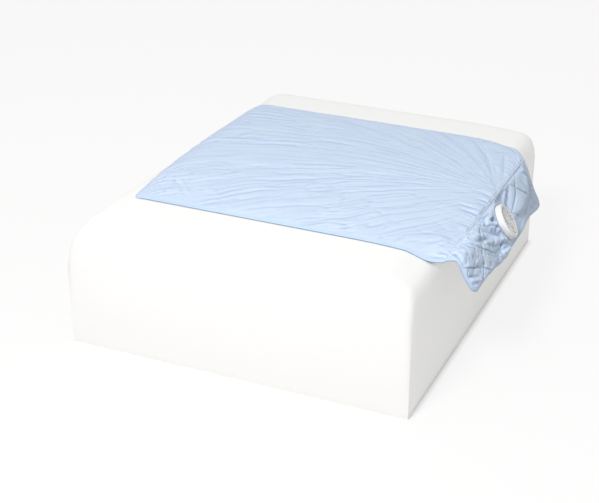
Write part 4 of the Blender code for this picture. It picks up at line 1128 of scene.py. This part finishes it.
POWER = (0.0345, -0.005, FACE)
LENS = (0.0248, -0.005, FACE)
SPEED = (0.0161, -0.005, FACE)
POWER_HOLE = 0.0068
SPEED_HOLE = 0.0058
for spot, radius in ((POWER, POWER_HOLE), (SPEED, SPEED_HOLE), (LENS, 0.0018)):
    round_tool(front_cover, radius, 0.01, spot, 48)
for across in (0.0442, 0.0074):
    round_tool(front_cover, 0.0018, 0.0054, (across, -0.005, FACE - 0.0037), 24, "UNION")
ease_edges(front_cover, 0.00025)
set_on_fan(front_cover)
front_cover.data.materials.append(abs_white)
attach(front_cover, "flap")
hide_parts("front_grille")

# Dust screen: fine black nylon mesh welded into the recess behind the slots, cut away over the control board.

dust_screen = slot_ring("dust_screen", 0.0146, 0.0446, FACE - 0.0014, FACE - 0.0010, (0.0454, 0.0400))
set_on_fan(dust_screen)

# Nylon screen mesh: black thread woven square. Real openings are 0.3 mm; they are drawn 0.9 mm apart.
screen = new_material("black_nylon_screen_mesh")
spot = node(screen, "ShaderNodeTexCoord", {}).outputs["Object"]
flat = node(screen, "ShaderNodeMapping", {"Vector": spot, "Rotation": (-YAW, 0.0, 0.0)})
warp, weft = (node(screen, "ShaderNodeTexWave", {"Vector": flat.outputs["Vector"], "Scale": WAVE / 0.0009},
                   bands_direction=way) for way in "YZ")
over = node(screen, "ShaderNodeMath", {0: warp.outputs["Fac"], 1: weft.outputs["Fac"]}, operation="MAXIMUM")
tint = node(screen, "ShaderNodeMix", {0: over.outputs["Value"], 6: srgb("#0B0B0C"), 7: srgb("#3A3B3E")},
            data_type="RGBA")
set_shader(screen, {"Base Color": tint.outputs[2], "Roughness": 0.6})
dust_screen.data.materials.append(screen)
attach(dust_screen, "flap")

# Button gap shade: two dark grey rings let into the cover round the push buttons; they are a dark thing put
# where the gap round each button lies in shade.

gap_shade_rings = []
for spot, radius in ((POWER, POWER_HOLE), (SPEED, SPEED_HOLE)):
    ring = turned_part("gap_shade_ring", [(radius, 0.0), (radius + 0.0012, 0.0), (radius + 0.0010, 0.0004),
                                         (radius + 0.0002, 0.0004), (radius, 0.0)], 48)
    set_on_fan(ring, spot)
    gap_shade_rings.append(ring)
button_gap_shade = joined(gap_shade_rings)
button_gap_shade.name = button_gap_shade.data.name = "button_gap_shade"

# Painted gap shade: charcoal grey, matt, with a fine dusty bloom 2 mm across.
gap_shade_grey = mottled("charcoal_gap_shade", "ShaderNodeTexNoise",
                    {"Scale": 1.0 / 0.002, "Detail": 2.0}, ("#26282B", "#3A3D42"), {"Roughness": 0.75})
button_gap_shade.data.materials.append(gap_shade_grey)
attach(button_gap_shade, "flap")

# Push buttons: two white ABS caps with a retaining lip behind the cover and a stem over the switch. The power
# cap carries a clear insert that shows the light behind it.


def push_cap(name, radius):
    lip = -0.0023
    return turned_part(name, [(0.0018, -0.0038), (0.0018, lip - 0.001), (radius + 0.0011, lip - 0.001),
                              (radius + 0.0011, lip), (radius, lip), (radius, 0.0007),
                              (radius - 0.0002, 0.0010), (radius - 0.0007, 0.0012),
                              (radius - 0.0016, 0.0011), (0.55 * radius, 0.0009)], 64)


CAP_PLAY = 0.0003
for name, hole, spot in (("power_cap", POWER_HOLE, POWER), ("speed_cap", SPEED_HOLE, SPEED)):
    cap = push_cap(name, hole - CAP_PLAY)
    set_on_fan(cap, spot)
    cap.data.materials.append(abs_white)
    body = name.replace("cap", "button")
    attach(cap, body)
    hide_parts(body)

# Clear acrylic, tinted yellow-green by the light behind it; it glows softly and is smooth and glossy.
acrylic = mottled("lit_green_acrylic", "ShaderNodeTexNoise", {"Scale": 1.0 / 0.0015, "Detail": 1.0},
                  ("#A9C23C", "#D3E27A"), {"Emission Strength": 0.25, "Roughness": 0.15, "IOR": 1.49})
lit = acrylic.node_tree.nodes["Principled BSDF"].inputs["Base Color"].links[0].from_socket
set_shader(acrylic, {"Emission Color": lit})
power_insert = turned_part("power_insert",
                           [(0.0034, 0.0009), (0.0034, 0.0012), (0.0031, 0.0014), (0.0015, 0.0015)], 48)
set_on_fan(power_insert, POWER)
power_insert.data.materials.append(acrylic)
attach(power_insert, "power_button")
light_pipe = turned_part("light_pipe", [(0.0015, -0.0064), (0.0015, 0.0), (0.0013, 0.0002),
                                        (0.0007, 0.0004)], 32)
set_on_fan(light_pipe, LENS)
light_pipe.data.materials.append(acrylic)
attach(light_pipe, "flap")
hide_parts("led_lens")

# Studio: a soft pale block that carries the mat, on a pale floor, in light from a wide softbox
# above the near side and a plain white room.

# Matt white paper board: seen partly by its own light, so that it reads as white; it takes shadows, and its
# own light fades where something lies close on it.
def white_board(name, share):
    board = new_material(name)
    path = node(board, "ShaderNodeLightPath", {})
    seen = node(board, "ShaderNodeMath", {0: path.outputs["Is Camera Ray"], 1: path.outputs["Is Glossy Ray"]},
                operation="MAXIMUM")
    seen = node(board, "ShaderNodeMath", {0: seen.outputs[0], 1: path.outputs["Is Transmission Ray"]},
                operation="MAXIMUM")
    face = node(board, "ShaderNodeMix", {0: seen.outputs[0], 6: srgb("#D6D5D2"), 7: srgb("#F7F6F4")},
                data_type="RGBA")
    set_shader(board, {"Base Color": face.outputs[2], "Roughness": 0.9, "Specular IOR Level": 0.1})
    part = node(board, "ShaderNodeMath", {0: seen.outputs[0], 1: share}, operation="MULTIPLY")
    open_air = node(board, "ShaderNodeAmbientOcclusion", {"Distance": 0.02}, samples=4)
    part = node(board, "ShaderNodeMath", {0: part.outputs[0], 1: open_air.outputs["AO"]},
                operation="MULTIPLY")
    white = node(board, "ShaderNodeEmission", {"Color": (1.0, 1.0, 1.0, 1.0), "Strength": 1.0})
    paper = board.node_tree.nodes["Principled BSDF"].outputs["BSDF"]
    both = node(board, "ShaderNodeMixShader", {0: part.outputs[0], 1: paper, 2: white.outputs["Emission"]})
    feed(board, board.node_tree.nodes["Material Output"], {"Surface": both.outputs["Shader"]})
    return board


GROUND = -0.42
BLOCK_ROUND = 0.045
block_x = np.linspace(-0.56, 0.515, 108)
block_y = np.linspace(-0.62, 0.60, 100)
bx, by = np.meshgrid(block_x, block_y, indexing="ij")
level = on_panel(np.clip(bx, -LEFT, END), np.clip(by, -HALF, HALF), 0.0)[..., 2] - 0.0012
level -= 0.9 * np.maximum(0.0, -LEFT - bx)
for gap in (bx - block_x[0], block_x[-1] - bx, by - block_y[0], block_y[-1] - by):
    level -= BLOCK_ROUND * (1.0 - round_over(gap, BLOCK_ROUND))
top_points = np.stack([bx, by, level], axis=-1)
foot_points = np.stack([bx, by, np.full_like(bx, GROUND)], axis=-1)
rest_block = cloth_layer("rest_block", top_points, foot_points, np.stack([bx, by], axis=-1))
rest_block.data.materials.append(white_board("matt_white_block", 0.45))

bpy.ops.mesh.primitive_plane_add(size=24.0, location=(0.0, 0.0, GROUND))
floor = bpy.context.object
floor.name = "floor"
floor.data.materials.append(white_board("matt_white_floor", 0.85))

bpy.ops.object.light_add(type="AREA", location=(0.0, -3.0, 3.0))
softbox = bpy.context.object
softbox.data.shape = "DISK"
softbox.data.size = 1.3
softbox.data.energy = 124.0
softbox.rotation_euler = (Vector((0.1, 0.0, 0.0)) - softbox.location).to_track_quat("-Z", "Y").to_euler()

world = bpy.data.worlds.new("white_room")
bpy.context.scene.world = world
world.use_nodes = True
path = node(world, "ShaderNodeLightPath", {})
seen = node(world, "ShaderNodeMath", {0: path.outputs["Is Camera Ray"], 1: path.outputs["Is Glossy Ray"]},
            operation="MAXIMUM")
over = node(world, "ShaderNodeTexCoord", {})
split = node(world, "ShaderNodeSeparateXYZ", {0: over.outputs["Generated"]})
sky = node(world, "ShaderNodeMapRange", {0: split.outputs["Z"], 1: -0.2, 2: 0.9, 3: 0.29, 4: 0.55})
level_of = node(world, "ShaderNodeMix", {0: seen.outputs[0], 2: sky.outputs[0], 3: 1.0})
feed(world, world.node_tree.nodes["Background"],
     {"Strength": level_of.outputs[0], "Color": (1.0, 1.0, 1.0, 1.0)})
